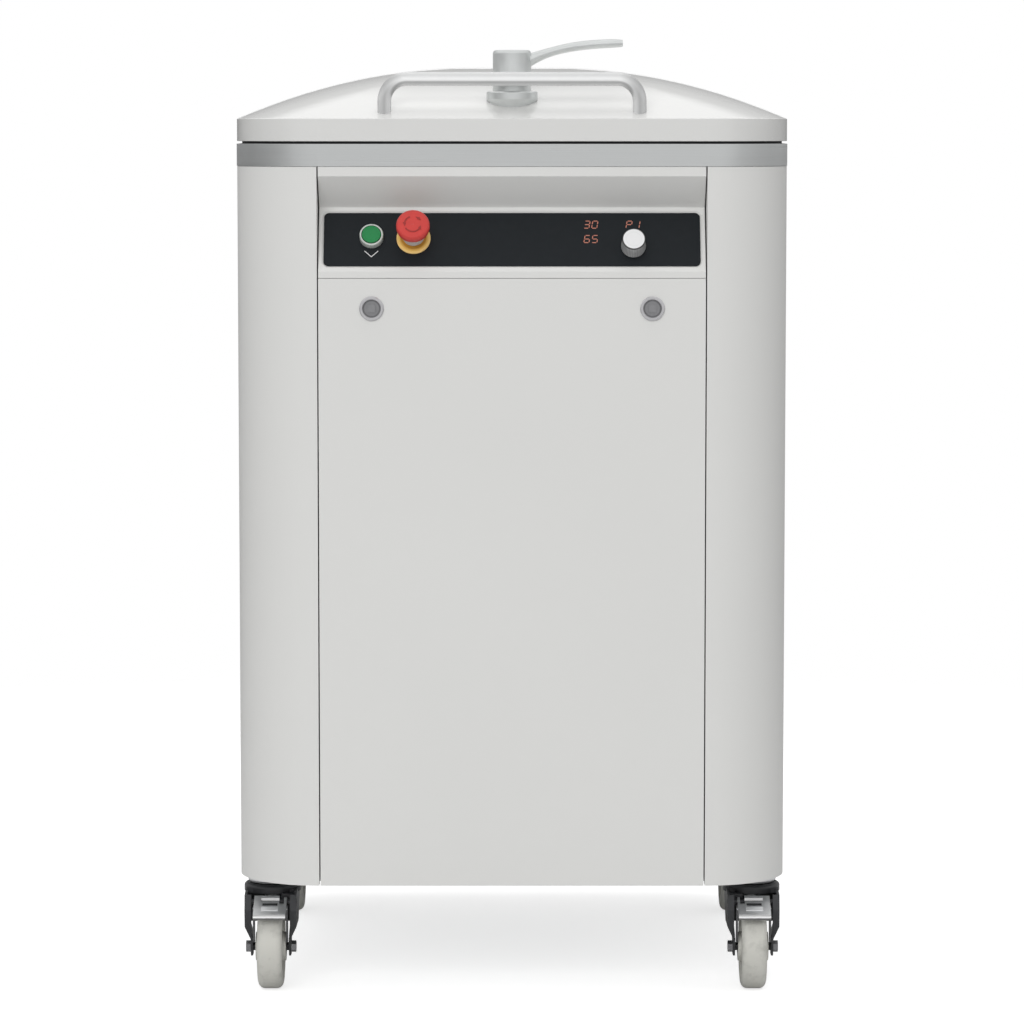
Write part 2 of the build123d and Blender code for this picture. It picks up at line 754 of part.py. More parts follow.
def switch_blocks():
    """Contact blocks behind the start button and emergency stop, and the encoder's body."""
    blocks = []
    for place, depth in ((START_AT, START_BACK), (ESTOP_AT, ESTOP_BACK)):
        blocks.append(on_slope(place, Pos(0, 0, -depth - CONTACT_BLOCK[2] / 2) * Box(*CONTACT_BLOCK)))
    encoder = Box(ENCODER_BLOCK, ENCODER_BLOCK, ENCODER_BLOCK)
    blocks.append(on_slope(KNOB_AT, Pos(0, 0, -ENCODER_DEPTH) * encoder))
    return blocks


def lock_axis(x):
    """Place of a panel lock: local Z points out of the panel, towards the user."""
    return Plane(origin=(x, FRONT, LOCK_Z), x_dir=(1, 0, 0), z_dir=(0, -1, 0)).location


def panel_lock_housings():
    """Flanged rings of the two panel locks."""
    bore = LOCK_CORE_R + CONTROL_FIT
    body = LOCK_CORE_R + LOCK_BODY
    lead = LOCK_RING_EDGE / 2
    profile = [
        (bore, -LOCK_BACK), (body, -LOCK_BACK), (body, 0), (LOCK_RING_R, 0),
        (LOCK_RING_R, LOCK_RING_T - LOCK_RING_EDGE), (LOCK_RING_R - LOCK_RING_EDGE, LOCK_RING_T),
        (bore + lead, LOCK_RING_T), (bore, LOCK_RING_T - lead),
    ]
    return [lock_axis(x) * turned(profile) for x in (-LOCK_X, LOCK_X)]


def panel_lock_core(x):
    """Turning core with a low square key, its spindle and the tongue behind the panel."""
    core_back = LOCK_CORE_FACE - LOCK_CORE_T
    core = drum(LOCK_CORE_R, core_back, LOCK_CORE_FACE)
    core += Pos(0, 0, LOCK_CORE_FACE) * extrude(RectangleRounded(LOCK_KEY, LOCK_KEY, LOCK_KEY_R), LOCK_KEY_H)
    tongue_back = -TONGUE_DEPTH - TONGUE_T
    core += drum(SPINDLE_R, tongue_back - 1, core_back + 1)
    half = TONGUE_W / 2
    core += block(-half, half, -half / 2, LOCK_TONGUE + half / 2, tongue_back, -TONGUE_DEPTH)
    return lock_axis(x) * core


# Top of the cabinet

def top_band():
    """Brushed stainless band round the top of the cabinet."""
    grow = 2 * BAND_PROUD
    return ring_wall(WIDTH + grow, DEPTH + grow, CORNER_R + BAND_PROUD, BAND_SHEET, BAND_BOTTOM, BAND_TOP)


def lock_slot(z0, z1):
    """Slot that the lock finger drops through when the lever is open."""
    half = FINGER_W / 2 + SLOT_MARGIN
    left = -FINGER_REACH - SLOT_MARGIN
    return block(left, SHAFT_R + SLOT_MARGIN, LOCK_Y - half - SLOT_MARGIN / 2, LOCK_Y + half, z0, z1)


def top_deck():
    """Deck plate inside the band, cut out for the basin and the lid lock."""
    inset = 2 * (BAND_SHEET - BAND_PROUD)
    deck = rounded_prism(WIDTH - inset, DEPTH - inset, CORNER_R - inset / 2, DECK_BOTTOM, BAND_TOP)
    wall = 2 * BASIN_WALL
    deck -= rounded_prism(BASIN_X + wall, BASIN_Y + wall, BASIN_R + BASIN_WALL, DECK_BOTTOM - 1, BAND_TOP + 1)
    return deck - lock_slot(DECK_BOTTOM - 1, BAND_TOP + 1)


def lock_keeper():
    """Hard plate under the deck that the lock finger pulls up against."""
    low = DECK_BOTTOM - KEEPER_T
    plate = block(-KEEPER_X, KEEPER_X, LOCK_Y - KEEPER_FRONT, LOCK_Y + KEEPER_BACK, low, DECK_BOTTOM)
    return plate - lock_slot(low - 1, DECK_BOTTOM + 1)


def lid_gasket():
    """Soft strip between the deck and the lid, set back from the edge."""
    inset = 2 * GASKET_INSET
    return ring_wall(
        WIDTH - inset, DEPTH - inset, CORNER_R - GASKET_INSET, GASKET_W, BAND_TOP, LID_BOTTOM - GASKET_GAP
    )


def basin():
    """Open basin that holds the dough: four walls and a rim that lies on the deck."""
    wall = 2 * BASIN_WALL
    rim = wall + 2 * BASIN_FLANGE
    body = rounded_prism(BASIN_X + wall, BASIN_Y + wall, BASIN_R + BASIN_WALL, BASIN_BOTTOM, BASIN_RIM)
    body += rounded_prism(BASIN_X + rim, BASIN_Y + rim, BASIN_R + BASIN_FLANGE, BAND_TOP, BASIN_RIM)
    return body - rounded_prism(BASIN_X, BASIN_Y, BASIN_R, BASIN_BOTTOM - 1, BASIN_RIM + 1)


# Lid

def dome_height(share):
    """Height of the lid above its edge, at a share of the half width."""
    reach = max(share - LID_FLAT, 0) / (1 - LID_FLAT)
    return LID_RISE * (1 - reach ** 2)


def lid_form(inset):
    """Domed lid as a solid, drawn in by an inset on every side."""
    skirt = rounded_prism(
        WIDTH - 2 * inset, DEPTH - 2 * inset, CORNER_R - inset, LID_BOTTOM, LID_EDGE - inset
    )
    sections = []
    for share in LID_SECTIONS:
        height = LID_EDGE + dome_height(share) - inset
        outline = RectangleRounded(
            WIDTH * share - 2 * inset, DEPTH * share - 2 * inset, CORNER_R * share - inset
        )
        sections.append(Pos(0, 0, height) * outline)
    return skirt + loft(sections)


def lid_shell(outer):
    """Thin domed lid with a straight skirt, holed for the lock shaft."""
    shell = outer - lid_form(LID_SHEET)
    return shell - drum(SHAFT_R + 2, LID_BOTTOM, BOSS_TOP, 0, LOCK_Y)


def lid_inner_pan():
    """Flat plate that closes the lid from below."""
    inset = 2 * (LID_SHEET + PAN_GAP)
    pan = rounded_prism(
        WIDTH - inset, DEPTH - inset, CORNER_R - inset / 2, PAN_BOTTOM, PAN_BOTTOM + PAN_T
    )
    return pan - drum(SHAFT_R + SHAFT_FIT, PAN_BOTTOM - 1, PAN_BOTTOM + PAN_T + 1, 0, LOCK_Y)


def lid_press_plate():
    """White food-grade plate that the dough is pressed against."""
    plate = rounded_prism(PRESS_PLATE_X, PRESS_PLATE_Y, PRESS_PLATE_R, PRESS_PLATE_BOTTOM, PAN_BOTTOM)
    return chamfer(plate.edges().group_by(Axis.Z)[0], PRESS_PLATE_EDGE)


def lid_handle(outer):
    """Bent bar handle, trimmed to the lid's surface at both feet."""
    foot = LID_EDGE - 2
    path = FilletPolyline(
        (-HANDLE_X, HANDLE_Y, foot),
        (-HANDLE_X, HANDLE_Y, HANDLE_Z),
        (HANDLE_X, HANDLE_Y, HANDLE_Z),
        (HANDLE_X, HANDLE_Y, foot),
        radius=HANDLE_BEND,
    )
    bar = sweep(Plane(origin=path @ 0, z_dir=path % 0) * Circle(HANDLE_R), path=path)
    return bar - outer


def lever_boss(outer):
    """Turned boss with an undercut foot, which levels the lever on the slope of the lid."""
    bore = SHAFT_R + SHAFT_FIT
    boss = turned([
        (bore, LID_EDGE), (bore, BOSS_TOP), (BOSS_R - BOSS_EDGE, BOSS_TOP), (BOSS_R, BOSS_TOP - BOSS_EDGE),
        (BOSS_R, BOSS_RIM), (BOSS_FOOT_R, BOSS_FOOT), (BOSS_FOOT_R, LID_EDGE),
    ])
    return Pos(0, LOCK_Y, 0) * boss - outer


def lock_lever():
    """Clamp lever: round hub with a dished cap, and an arm that curves up to a flat tip."""
    hub = drum(HUB_R, HUB_BOTTOM, HUB_TOP)
    hub = fillet(hub.edges().group_by(Axis.Z)[-1], HUB_ROUND)
    hub -= drum(HUB_DISH_R, HUB_TOP - HUB_DISH, HUB_TOP + 1)
    sections = []
    for x, z, height, width, climb in LEVER_SECTIONS:
        along = (cos(radians(climb)), 0, sin(radians(climb)))
        plane = Plane(origin=(x, 0, z), x_dir=(0, 1, 0), z_dir=along)
        sections.append(plane * Ellipse(width / 2, height / 2))
    bore = drum(SHAFT_R, HUB_BOTTOM - 1, HUB_TOP - SHAFT_CAP)
    return Pos(0, LOCK_Y, 0) * (hub + loft(sections) - bore)


def lock_shaft():
    """Shaft from the lever down through the lid, with the finger that locks under the keeper."""
    shaft = drum(SHAFT_R - SHAFT_PRESS, FINGER_BOTTOM, HUB_TOP - SHAFT_CAP - CONTROL_FIT)
    finger = block(-FINGER_REACH, 0, -FINGER_W / 2, FINGER_W / 2, FINGER_BOTTOM, FINGER_BOTTOM + FINGER_T)
    return Pos(0, LOCK_Y, 0) * (shaft + finger)


# Hinges

def hinge_side(parts_at, web, leaf):
    """One hinge half: knuckles on the hinge axis, webs and a leaf, without the pin hole."""
    half = None
    for x0, x1 in parts_at:
        piece = rod_x(KNUCKLE_R, x0, x1, HINGE_Y, HINGE_Z)
        piece += block(x0, x1, *web)
        half = piece if half is None else half + piece
    return half + block(-LEAF_W / 2, LEAF_W / 2, *leaf)


def rear_hinges():
    """Hinge halves bolted to the back of the band, with their pins."""
    face = REAR + BAND_PROUD
    inner = KNUCKLE_HALF + KNUCKLE_GAP
    spans = ((-LEAF_W / 2, -inner), (inner, LEAF_W / 2))
    web = (face, HINGE_Y, HINGE_Z - WEB_H, HINGE_Z)
    leaf = (face, face + LEAF_T, BAND_BOTTOM + LEAF_EDGE, HINGE_Z - LEAF_CLEAR_LOW)
    half = hinge_side(spans, web, leaf)
    half -= rod_x(PIN_R, -LEAF_W, LEAF_W, HINGE_Y, HINGE_Z)
    reach = LEAF_W / 2 + PIN_HEAD
    pin = rod_x(PIN_R, -reach, reach, HINGE_Y, HINGE_Z)
    return [Pos(x, 0, 0) * piece for x in (-HINGE_X, HINGE_X) for piece in (half, pin)]


def lid_hinge_leaves():
    """Hinge halves bolted to the back of the lid's skirt."""
    leaf = (REAR, REAR + LEAF_T, HINGE_Z + LEAF_CLEAR_HIGH, LID_EDGE - LEAF_EDGE)
    web = (REAR, HINGE_Y, HINGE_Z + WEB_CLEAR, HINGE_Z + WEB_H)
    half = hinge_side(((-KNUCKLE_HALF, KNUCKLE_HALF),), web, leaf)
    half -= rod_x(PIN_R + RUNNING_FIT, -LEAF_W, LEAF_W, HINGE_Y, HINGE_Z)
    return [Pos(x, 0, 0) * half for x in (-HINGE_X, HINGE_X)]


# Press

def press_tiles():
    """Tiles that form the basin's floor and push the dough up."""
    size_x = PITCH_X - TILE_GAP
    size_y = PITCH_Y - TILE_GAP
    tile = block(-size_x / 2, size_x / 2, -size_y / 2, size_y / 2, TILE_TOP - TILE_T, TILE_TOP)
    tile = chamfer(tile.edges().group_by(Axis.Z)[-1], TILE_CHAMFER)
    return [Pos(x, y, 0) * tile for x, y in grid_centres()]


def press_posts():
    """Posts that hold the tiles above the knife frame."""
    return [drum(POST_R, CARRIER_TOP, TILE_TOP - TILE_T, x, y) for x, y in grid_centres()]


def press_carrier():
    """Plate that carries all posts."""
    return rounded_prism(CARRIER_X, CARRIER_Y, CARRIER_R, CARRIER_TOP - CARRIER_T, CARRIER_TOP)


def main_ram():
    """Main rod with its flange under the carrier and its piston in the cylinder."""
    top = CARRIER_TOP - CARRIER_T
    foot = CYLINDER_BOTTOM + CYLINDER_BASE + PISTON_REST
    ram = drum(ROD_R - RUNNING_FIT, foot, top)
    ram += drum(ROD_R + RAM_FLANGE, top - RAM_FLANGE_T, top)
    return ram + drum(BORE_R - RUNNING_FIT, foot, foot + PISTON_T)


# Knives

def knife_blades_long():
    """Blades from front to back, slotted from above for the cross blades."""
    half = BASIN_Y / 2 - BLADE_END_GAP
    mid = (BLADE_BOTTOM + BLADE_TOP) / 2
    blade = block(-BLADE_T / 2, BLADE_T / 2, -half, half, BLADE_BOTTOM, BLADE_TOP)
    for y in cross_blade_places():
        blade -= block(-BLADE_T, BLADE_T, y - BLADE_SLOT / 2, y + BLADE_SLOT / 2, mid, BLADE_TOP + 1)
    return [Pos(x, 0, 0) * blade for x in long_blade_places()]


def knife_blades_cross():
    """Blades from side to side, slotted from below for the long blades."""
    half = BASIN_X / 2 - BLADE_END_GAP
    mid = (BLADE_BOTTOM + BLADE_TOP) / 2
    blade = block(-half, half, -BLADE_T / 2, BLADE_T / 2, BLADE_BOTTOM, BLADE_TOP)
    for x in long_blade_places():
        blade -= block(x - BLADE_SLOT / 2, x + BLADE_SLOT / 2, -BLADE_T, BLADE_T, BLADE_BOTTOM - 1, mid)
    return [Pos(0, y, 0) * blade for y in cross_blade_places()]


def knife_frame():
    """Grid plate under the blades, with a cell for each post and a lug for each ram."""
    reach = KNIFE_ROD_X + KNIFE_LUG / 2
    low = KNIFE_FRAME_BOTTOM
    frame = block(-BASIN_X / 2, BASIN_X / 2, -BASIN_Y / 2, BASIN_Y / 2, low, BLADE_BOTTOM)
    frame += block(-reach, reach, -KNIFE_LUG / 2, KNIFE_LUG / 2, low, BLADE_BOTTOM)
    cell = Box(KNIFE_CELL, KNIFE_CELL, 3 * KNIFE_FRAME_T)
    for x, y in grid_centres():
        frame -= Pos(x, y, low) * cell
    return frame


def knife_rams():
    """Rods that lift the knife frame, with their pistons."""
    foot = BEAM_TOP + KNIFE_REST
    rams = []
    for x in (-KNIFE_ROD_X, KNIFE_ROD_X):
        rod = drum(KNIFE_ROD_R - RUNNING_FIT, foot, KNIFE_FRAME_BOTTOM, x)
        rams.append(rod + drum(SMALL_BORE_R - RUNNING_FIT, foot, foot + KNIFE_PISTON_T, x))
    return rams


# Inner frame and hydraulics

def upright_frame():
    """Four square tubes from the tray to the deck."""
    inner = UPRIGHT - 2 * UPRIGHT_WALL
    section = Rectangle(UPRIGHT, UPRIGHT) - Rectangle(inner, inner)
    tube = Pos(0, 0, TRAY_TOP) * extrude(section, DECK_BOTTOM - TRAY_TOP)
    return [Pos(x, y, 0) * tube for x in (-UPRIGHT_X, UPRIGHT_X) for y in (-UPRIGHT_Y, UPRIGHT_Y)]


def bridge_beam():
    """Welded beam between the uprights that carries the cylinders."""
    reach_y = UPRIGHT_Y - UPRIGHT / 2
    rail = UPRIGHT / 2
    beam = block(-UPRIGHT_X, UPRIGHT_X, -BEAM_HALF, BEAM_HALF, BEAM_TOP - BEAM_T, BEAM_TOP)
    for x in (-UPRIGHT_X, UPRIGHT_X):
        beam += block(x - rail, x + rail, -reach_y, reach_y, BEAM_TOP - RAIL_H, BEAM_TOP)
    for y in (-RIB_Y, RIB_Y):
        beam += block(-UPRIGHT_X, UPRIGHT_X, y - RIB_T / 2, y + RIB_T / 2, BEAM_TOP - RIB_H, BEAM_TOP)
    return beam - drum(CYLINDER_R, BEAM_TOP - BEAM_T - 1, BEAM_TOP + 1)


def main_cylinder():
    """Main cylinder hung through the beam by a flange, with a gland at its top."""
    body = drum(CYLINDER_R, CYLINDER_BOTTOM, CYLINDER_TOP)
    body += drum(CYLINDER_R + CYLINDER_FLANGE, BEAM_TOP, BEAM_TOP + CYLINDER_FLANGE_T)
    body -= drum(BORE_R, CYLINDER_BOTTOM + CYLINDER_BASE, CYLINDER_TOP - ROD_GLAND_T)
    return body - drum(ROD_R, CYLINDER_TOP - ROD_GLAND_T - 1, CYLINDER_TOP + 1)


def knife_cylinders():
    """Two small cylinders on the beam that lift the knives."""
    cylinders = []
    for x in (-KNIFE_ROD_X, KNIFE_ROD_X):
        body = drum(SMALL_CYLINDER_R, BEAM_TOP, SMALL_TOP, x)
        body -= drum(SMALL_BORE_R, BEAM_TOP + SMALL_BASE, SMALL_TOP - ROD_GLAND_T, x)
        cylinders.append(body - drum(KNIFE_ROD_R, SMALL_TOP - ROD_GLAND_T - 1, SMALL_TOP + 1, x))
    return cylinders


def hydraulic_tank():
    """Oil tank on the tray, with a filler cap."""
    top = TRAY_TOP + TANK_H
    tank = block(*TANK_X, *TANK_Y, TRAY_TOP, top)
    tank = fillet(tank.edges().filter_by(Axis.Z), TANK_R)
    return tank + drum(FILLER_R, top, top + FILLER_H, *FILLER_AT)


def pump_motor():
    """Electric motor with a finned body, lying on two feet."""
    axis_z = TRAY_TOP + MOTOR_AXIS
    motor = rod_x(MOTOR_R, *MOTOR_X, MOTOR_Y, axis_z)
    for index in range(FIN_COUNT):
        x = FIN_FIRST_X + FIN_PITCH * index
        motor += rod_x(FIN_R, x - FIN_T / 2, x + FIN_T / 2, MOTOR_Y, axis_z)
    motor += rod_x(PUMP_R, MOTOR_X[1], PUMP_END, MOTOR_Y, axis_z)
    for x in FOOT_X:
        x0, x1 = x - FOOT_W / 2, x + FOOT_W / 2
        motor += block(x0, x1, MOTOR_Y - FOOT_REACH, MOTOR_Y + FOOT_REACH, TRAY_TOP, TRAY_TOP + FOOT_H)
    return motor


def valve_block():
    """Manifold block with two solenoid valves, beside the pump."""
    body = block(*VALVE_X, *VALVE_Y, TRAY_TOP, TRAY_TOP + VALVE_H)
    for y in SOLENOID_Y:
        body += rod_x(SOLENOID_R, VALVE_X[0] - SOLENOID_L, VALVE_X[0], y, TRAY_TOP + SOLENOID_Z)
    return body


def control_box():
    """Closed electrical box on the inside of the right uprights."""
    box = block(*BOX_X, *BOX_Y, *BOX_Z)
    return fillet(box.edges().filter_by(Axis.X), BOX_R)


# Casters

def caster_heads():
    """Fixed heads of the casters: a dish under the tray and the king bolt."""
    heads = []
    nut_bottom = CROWN_BOTTOM - KING_NUT_GAP - KING_NUT_T
    for x, y in caster_places().values():
        head = drum(HEAD_R, CROWN_TOP + HEAD_GAP, TRAY_BOTTOM, x, y)
        head = chamfer(head.edges().group_by(Axis.Z)[0], HEAD_EDGE)
        head += drum(KING_R, CROWN_BOTTOM - 1, CROWN_TOP + 2, x, y)
        head += Pos(x, y, nut_bottom) * extrude(RegularPolygon(KING_NUT_R, 6), KING_NUT_T)
        heads.append(head)
    return heads


def leg_outline(thickness, low):
    """Front view of one fork leg: straight below the crown, then drawn in to the axle."""
    high = CROWN_TOP - LEG_TOP_DROP
    inner_top = LEG_TOP_X - thickness
    inner_low = max(LEG_AXLE_X - thickness, LEG_CLEAR)
    return make_face(Polyline(
        (LEG_TOP_X, high), (LEG_TOP_X, LEG_BEND_HIGH), (LEG_AXLE_X, LEG_BEND_LOW), (LEG_AXLE_X, low),
        (inner_low, low), (inner_low, LEG_BEND_LOW + 1), (inner_top, LEG_BEND_HIGH + 1), (inner_top, high),
        close=True,
    ))


def fork_leg():
    """Stamped leg: a plate with its front edge folded inwards, and a shoulder to the crown."""
    foot = [
        (TRAIL_Y - LEG_FOOT, LEG_FOOT_TOP), (TRAIL_Y - LEG_TOE, LEG_END),
        (TRAIL_Y + LEG_TOE, LEG_END), (TRAIL_Y + LEG_FOOT, LEG_FOOT_TOP),
    ]
    side = make_face(Polyline(*LEG_NOSE, *foot, *LEG_HEEL, close=True))
    front = [*LEG_NOSE, (TRAIL_Y - LEG_FOOT, FLANGE_END)]
    edge = make_face(Polyline(*front, *[(y + LEG_T, z) for y, z in reversed(front)], close=True))
    reach = 2 * TRAIL
    plate = extrude(Plane.XZ * leg_outline(LEG_T, LEG_END), reach, both=True)
    plate = plate & extrude(Plane.YZ * side, reach, both=True)
    flange = extrude(Plane.XZ * leg_outline(LEG_FLANGE, FLANGE_END), reach, both=True)
    flange = flange & extrude(Plane.YZ * edge, reach, both=True)
    return plate + flange + block(SHOULDER_X, LEG_TOP_X, *SHOULDER_Y, CROWN_BOTTOM, CROWN_TOP - LEG_TOP_DROP)


def caster_fork(cam_side):
    """Fork about its own swivel axis: crown, two legs, the web behind them and a brake's cam housing."""
    crown = drum(CROWN_R, CROWN_BOTTOM, CROWN_TOP)
    crown = fillet(crown.edges().group_by(Axis.Z)[-1], CROWN_ROUND)
    leg = fork_leg()
    fork = crown + leg + mirror(leg, about=Plane.YZ)
    inside = LEG_TOP_X - 1
    fork += block(-inside, inside, FORK_WEB_Y, FORK_WEB_Y + LEG_T, FORK_WEB_BOTTOM, CROWN_BOTTOM + 1)
    if cam_side:
        x0, x1 = sorted((cam_side * CAM_X, cam_side * inside))
        fork += block(x0, x1, *CAM_Y, CAM_BOTTOM, CROWN_BOTTOM + 1)
    fork -= drum(KING_R + RUNNING_FIT, CROWN_BOTTOM - 1, CROWN_TOP + 1)
    fork -= rod_x(AXLE_R, -CROWN_R, CROWN_R, TRAIL_Y, WHEEL_R)
    return fork - rod_x(PEDAL_PIN_R, -CROWN_R, CROWN_R, *PEDAL_PIVOT)


def caster_axle():
    """Axle bolt with a hexagon head and nut."""
    axle = rod_x(AXLE_R, -LEG_AXLE_X, LEG_AXLE_X, TRAIL_Y, WHEEL_R)
    hexagon = extrude(RegularPolygon(BOLT_HEAD_R, 6), BOLT_HEAD_T)
    axle += Pos(LEG_AXLE_X, TRAIL_Y, WHEEL_R) * Rot(0, 90, 0) * hexagon
    return axle + Pos(-LEG_AXLE_X - BOLT_HEAD_T, TRAIL_Y, WHEEL_R) * Rot(0, 90, 0) * hexagon


def caster_wheel():
    """Solid wheel with a rounded tread, dished sides and a hub."""
    half = WHEEL_W / 2
    hub = WHEEL_HUB / 2
    bore = AXLE_R + RUNNING_FIT
    edge = WHEEL_R - TREAD_EDGE
    flat = half - TREAD_EDGE
    dish = half - DISH
    web = HUB_WHEEL_R + 2
    left = [(bore, -hub), (HUB_WHEEL_R, -hub), (web, -dish), (DISH_R, -dish), (RIM_R, -half), (edge, -half)]
    right = [(r, -x) for r, x in reversed(left)]
    profile = (
        Polyline(*left)
        + RadiusArc((edge, -half), (WHEEL_R, -flat), -TREAD_ROUND)
        + Line((WHEEL_R, -flat), (WHEEL_R, flat))
        + RadiusArc((WHEEL_R, flat), (edge, half), -TREAD_ROUND)
        + Polyline(*right)
        + Line((bore, hub), (bore, -hub))
    )
    wheel = revolve(Plane.XZ * make_face(profile), Axis.Z)
    return Pos(0, TRAIL_Y, WHEEL_R) * Rot(0, 90, 0) * wheel


def brake_pedal(inner_side):
    """Pressed brake pedal: arms on a pivot pin, a sloped foot plate with a lip, and a brake shoe."""
    half = PEDAL_W / 2
    pedal = side_profile(PEDAL_PLATE, -half, half)
    high = CROWN_TOP
    slot_x, slot_front, slot_back = PEDAL_SLOT
    pedal -= block(-slot_x / 2, slot_x / 2, slot_front, slot_back, 0, high)
    notch_x, notch_y, notch_z = PEDAL_NOTCH
    x0, x1 = sorted((inner_side * notch_x, inner_side * (half + 1)))
    pedal -= block(x0, x1, PEDAL_PLATE[1][0], notch_y, notch_z, high)
    pedal += side_profile(SHOE, -SHOE_W / 2, SHOE_W / 2)
    open_x, open_front, open_back = PEDAL_OPENING
    pedal -= block(-open_x / 2, open_x / 2, open_front, open_back, PEDAL_OPENING_FLOOR, high)
    pedal += side_profile(PEDAL_BUMP, -PEDAL_BUMP_W / 2, PEDAL_BUMP_W / 2)
    for x0 in (-half, half - PEDAL_T):
        pedal += side_profile(PEDAL_CHEEK, x0, x0 + PEDAL_T)
    for x0 in (-ARM_X - ARM_T, ARM_X):
        pedal += side_profile(ARM, x0, x0 + ARM_T)
    reach = LEG_TOP_X - 1
    return pedal + rod_x(PEDAL_PIN_R - PEDAL_PIN_FIT, -reach, reach, *PEDAL_PIVOT)


def corner(name, shape):
    """Move a caster piece from its own swivel axis to a corner of the cabinet."""
    x, y = caster_places()[name]
    return Pos(x, y, 0) * shape


def nodes():
    """Every piece of the machine by its name."""
    outer = lid_form(0)
    pieces = {
        "base_tray": base_tray(),
        "left_side_shell": side_shell(-1),
        "right_side_shell": side_shell(1),
        "front_panel": front_panel(),
        "rear_panel": rear_panel(),
        "control_console": control_console(),
        "console_overlay": console_overlay(),
        "start_button_bezel": start_button_bezel(),
        "start_button_cap": start_button_cap(),
        "estop_ring": estop_ring(),
        "estop_stem": estop_stem(),
        "estop_mushroom": estop_mushroom(),
        "encoder_shaft": encoder_shaft(),
        "encoder_knob": encoder_knob(),
        "switch_blocks": switch_blocks(),
        "panel_lock_housings": panel_lock_housings(),
        "panel_lock_core_left": panel_lock_core(-LOCK_X),
        "panel_lock_core_right": panel_lock_core(LOCK_X),
        "top_band": top_band(),
        "top_deck": top_deck(),
        "lock_keeper": lock_keeper(),
        "lid_gasket": lid_gasket(),
        "basin": basin(),
        "lid_shell": lid_shell(outer),
        "lid_inner_pan": lid_inner_pan(),
        "lid_press_plate": lid_press_plate(),
        "lid_handle": lid_handle(outer),
        "lever_boss": lever_boss(outer),
        "lock_lever": lock_lever(),
        "lock_shaft": lock_shaft(),
        "rear_hinges": rear_hinges(),
        "lid_hinge_leaves": lid_hinge_leaves(),
        "press_tiles": press_tiles(),
        "press_posts": press_posts(),
        "press_carrier": press_carrier(),
        "main_ram": main_ram(),
        "knife_blades_long": knife_blades_long(),
        "knife_blades_cross": knife_blades_cross(),
        "knife_frame": knife_frame(),
        "knife_rams": knife_rams(),
        "upright_frame": upright_frame(),
        "bridge_beam": bridge_beam(),
        "main_cylinder": main_cylinder(),
        "knife_cylinders": knife_cylinders(),
        "hydraulic_tank": hydraulic_tank(),
        "pump_motor": pump_motor(),
        "valve_block": valve_block(),
        "control_box": control_box(),
        "cable_gland": cable_gland(),
        "caster_heads": caster_heads(),
    }
    axle = caster_axle()
    wheel = caster_wheel()
    for name, (x, y) in caster_places().items():
        inner_side = -1 if x > 0 else 1
        braked = y < 0
        fork = caster_fork(inner_side if braked else 0)
        pieces[f"caster_fork_{name}"] = [corner(name, fork), corner(name, axle)]
        pieces[f"caster_wheel_{name}"] = corner(name, wheel)
        if braked:
            pieces[f"brake_pedal_{name}"] = corner(name, brake_pedal(inner_side))
    return pieces


os.makedirs("parts", exist_ok=True)
for node, shape in nodes().items():
    solids = [solid for piece in (shape if isinstance(shape, list) else [shape]) for solid in piece.solids()]
    export_step(solids[0] if len(solids) == 1 else Compound(solids), f"parts/{node}.step")
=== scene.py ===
"""Looks of a semi-automatic dough divider: finishes, small fittings and the photo stage."""

import json
from math import atan2, cos, pi, radians, sin

import bpy
from bpy.props import (
    FloatProperty, FloatVectorProperty, IntProperty, PointerProperty, StringProperty,
)
from bpy.types import Operator, Panel, PropertyGroup
from mathutils import Matrix, Vector


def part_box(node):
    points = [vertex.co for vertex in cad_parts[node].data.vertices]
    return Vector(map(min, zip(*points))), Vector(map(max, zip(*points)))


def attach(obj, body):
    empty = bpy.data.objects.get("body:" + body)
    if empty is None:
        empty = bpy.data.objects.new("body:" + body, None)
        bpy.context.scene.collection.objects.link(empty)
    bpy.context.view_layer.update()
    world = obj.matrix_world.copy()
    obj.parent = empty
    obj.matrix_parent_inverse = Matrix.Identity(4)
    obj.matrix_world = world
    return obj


bl_info = {
    "name": "Dough divider looks",
    "version": (1, 0, 0),
    "blender": (4, 5, 0),
    "location": "3D View > Sidebar > Divider",
    "description": "Finishes and small fittings for the packed dough divider, and a photo stage",
    "category": "Object",
}

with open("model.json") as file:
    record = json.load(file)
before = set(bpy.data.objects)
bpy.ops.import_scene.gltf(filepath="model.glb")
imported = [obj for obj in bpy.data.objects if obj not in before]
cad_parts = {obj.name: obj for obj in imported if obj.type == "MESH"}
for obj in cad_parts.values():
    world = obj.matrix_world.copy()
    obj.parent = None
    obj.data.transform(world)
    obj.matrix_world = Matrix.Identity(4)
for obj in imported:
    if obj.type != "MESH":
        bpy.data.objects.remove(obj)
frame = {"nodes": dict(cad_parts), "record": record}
NODES = frame["nodes"]
SLOT_OF = {row["node"]: row["material_slot"] for row in frame["record"]["subparts"]}
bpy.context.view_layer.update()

# Places taken over from the solids, in metres; those on the console are across and up its slope
CONSOLE_RUN, CONSOLE_CLIMB = 0.038, 0.074
SLOPE_TILT = atan2(CONSOLE_RUN, CONSOLE_CLIMB)
SLOPE_RISE = Vector((0.0, sin(SLOPE_TILT), cos(SLOPE_TILT)))
SLOPE_OUT = Vector((0.0, -cos(SLOPE_TILT), sin(SLOPE_TILT)))
OVERLAY_UP = 0.0007
SLOPE_MIDDLE = sum(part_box("console_overlay"), Vector()) / 2 - SLOPE_RISE * OVERLAY_UP
OVERLAY_FACE = 0.0006
NUMBER_TOP = 0.00075
MARK_TOP = 0.0007
START_AT = (-0.1644, 0.0030)
START_CAP_RADIUS = 0.0106
STOP_AT = (-0.1152, 0.0017)
STOP_RING_RADII = (0.0140, 0.0200)
STOP_TOP = 0.0406
KNOB_AT = (0.1420, -0.0090)
KNOB_FACE_RADIUS = 0.0122
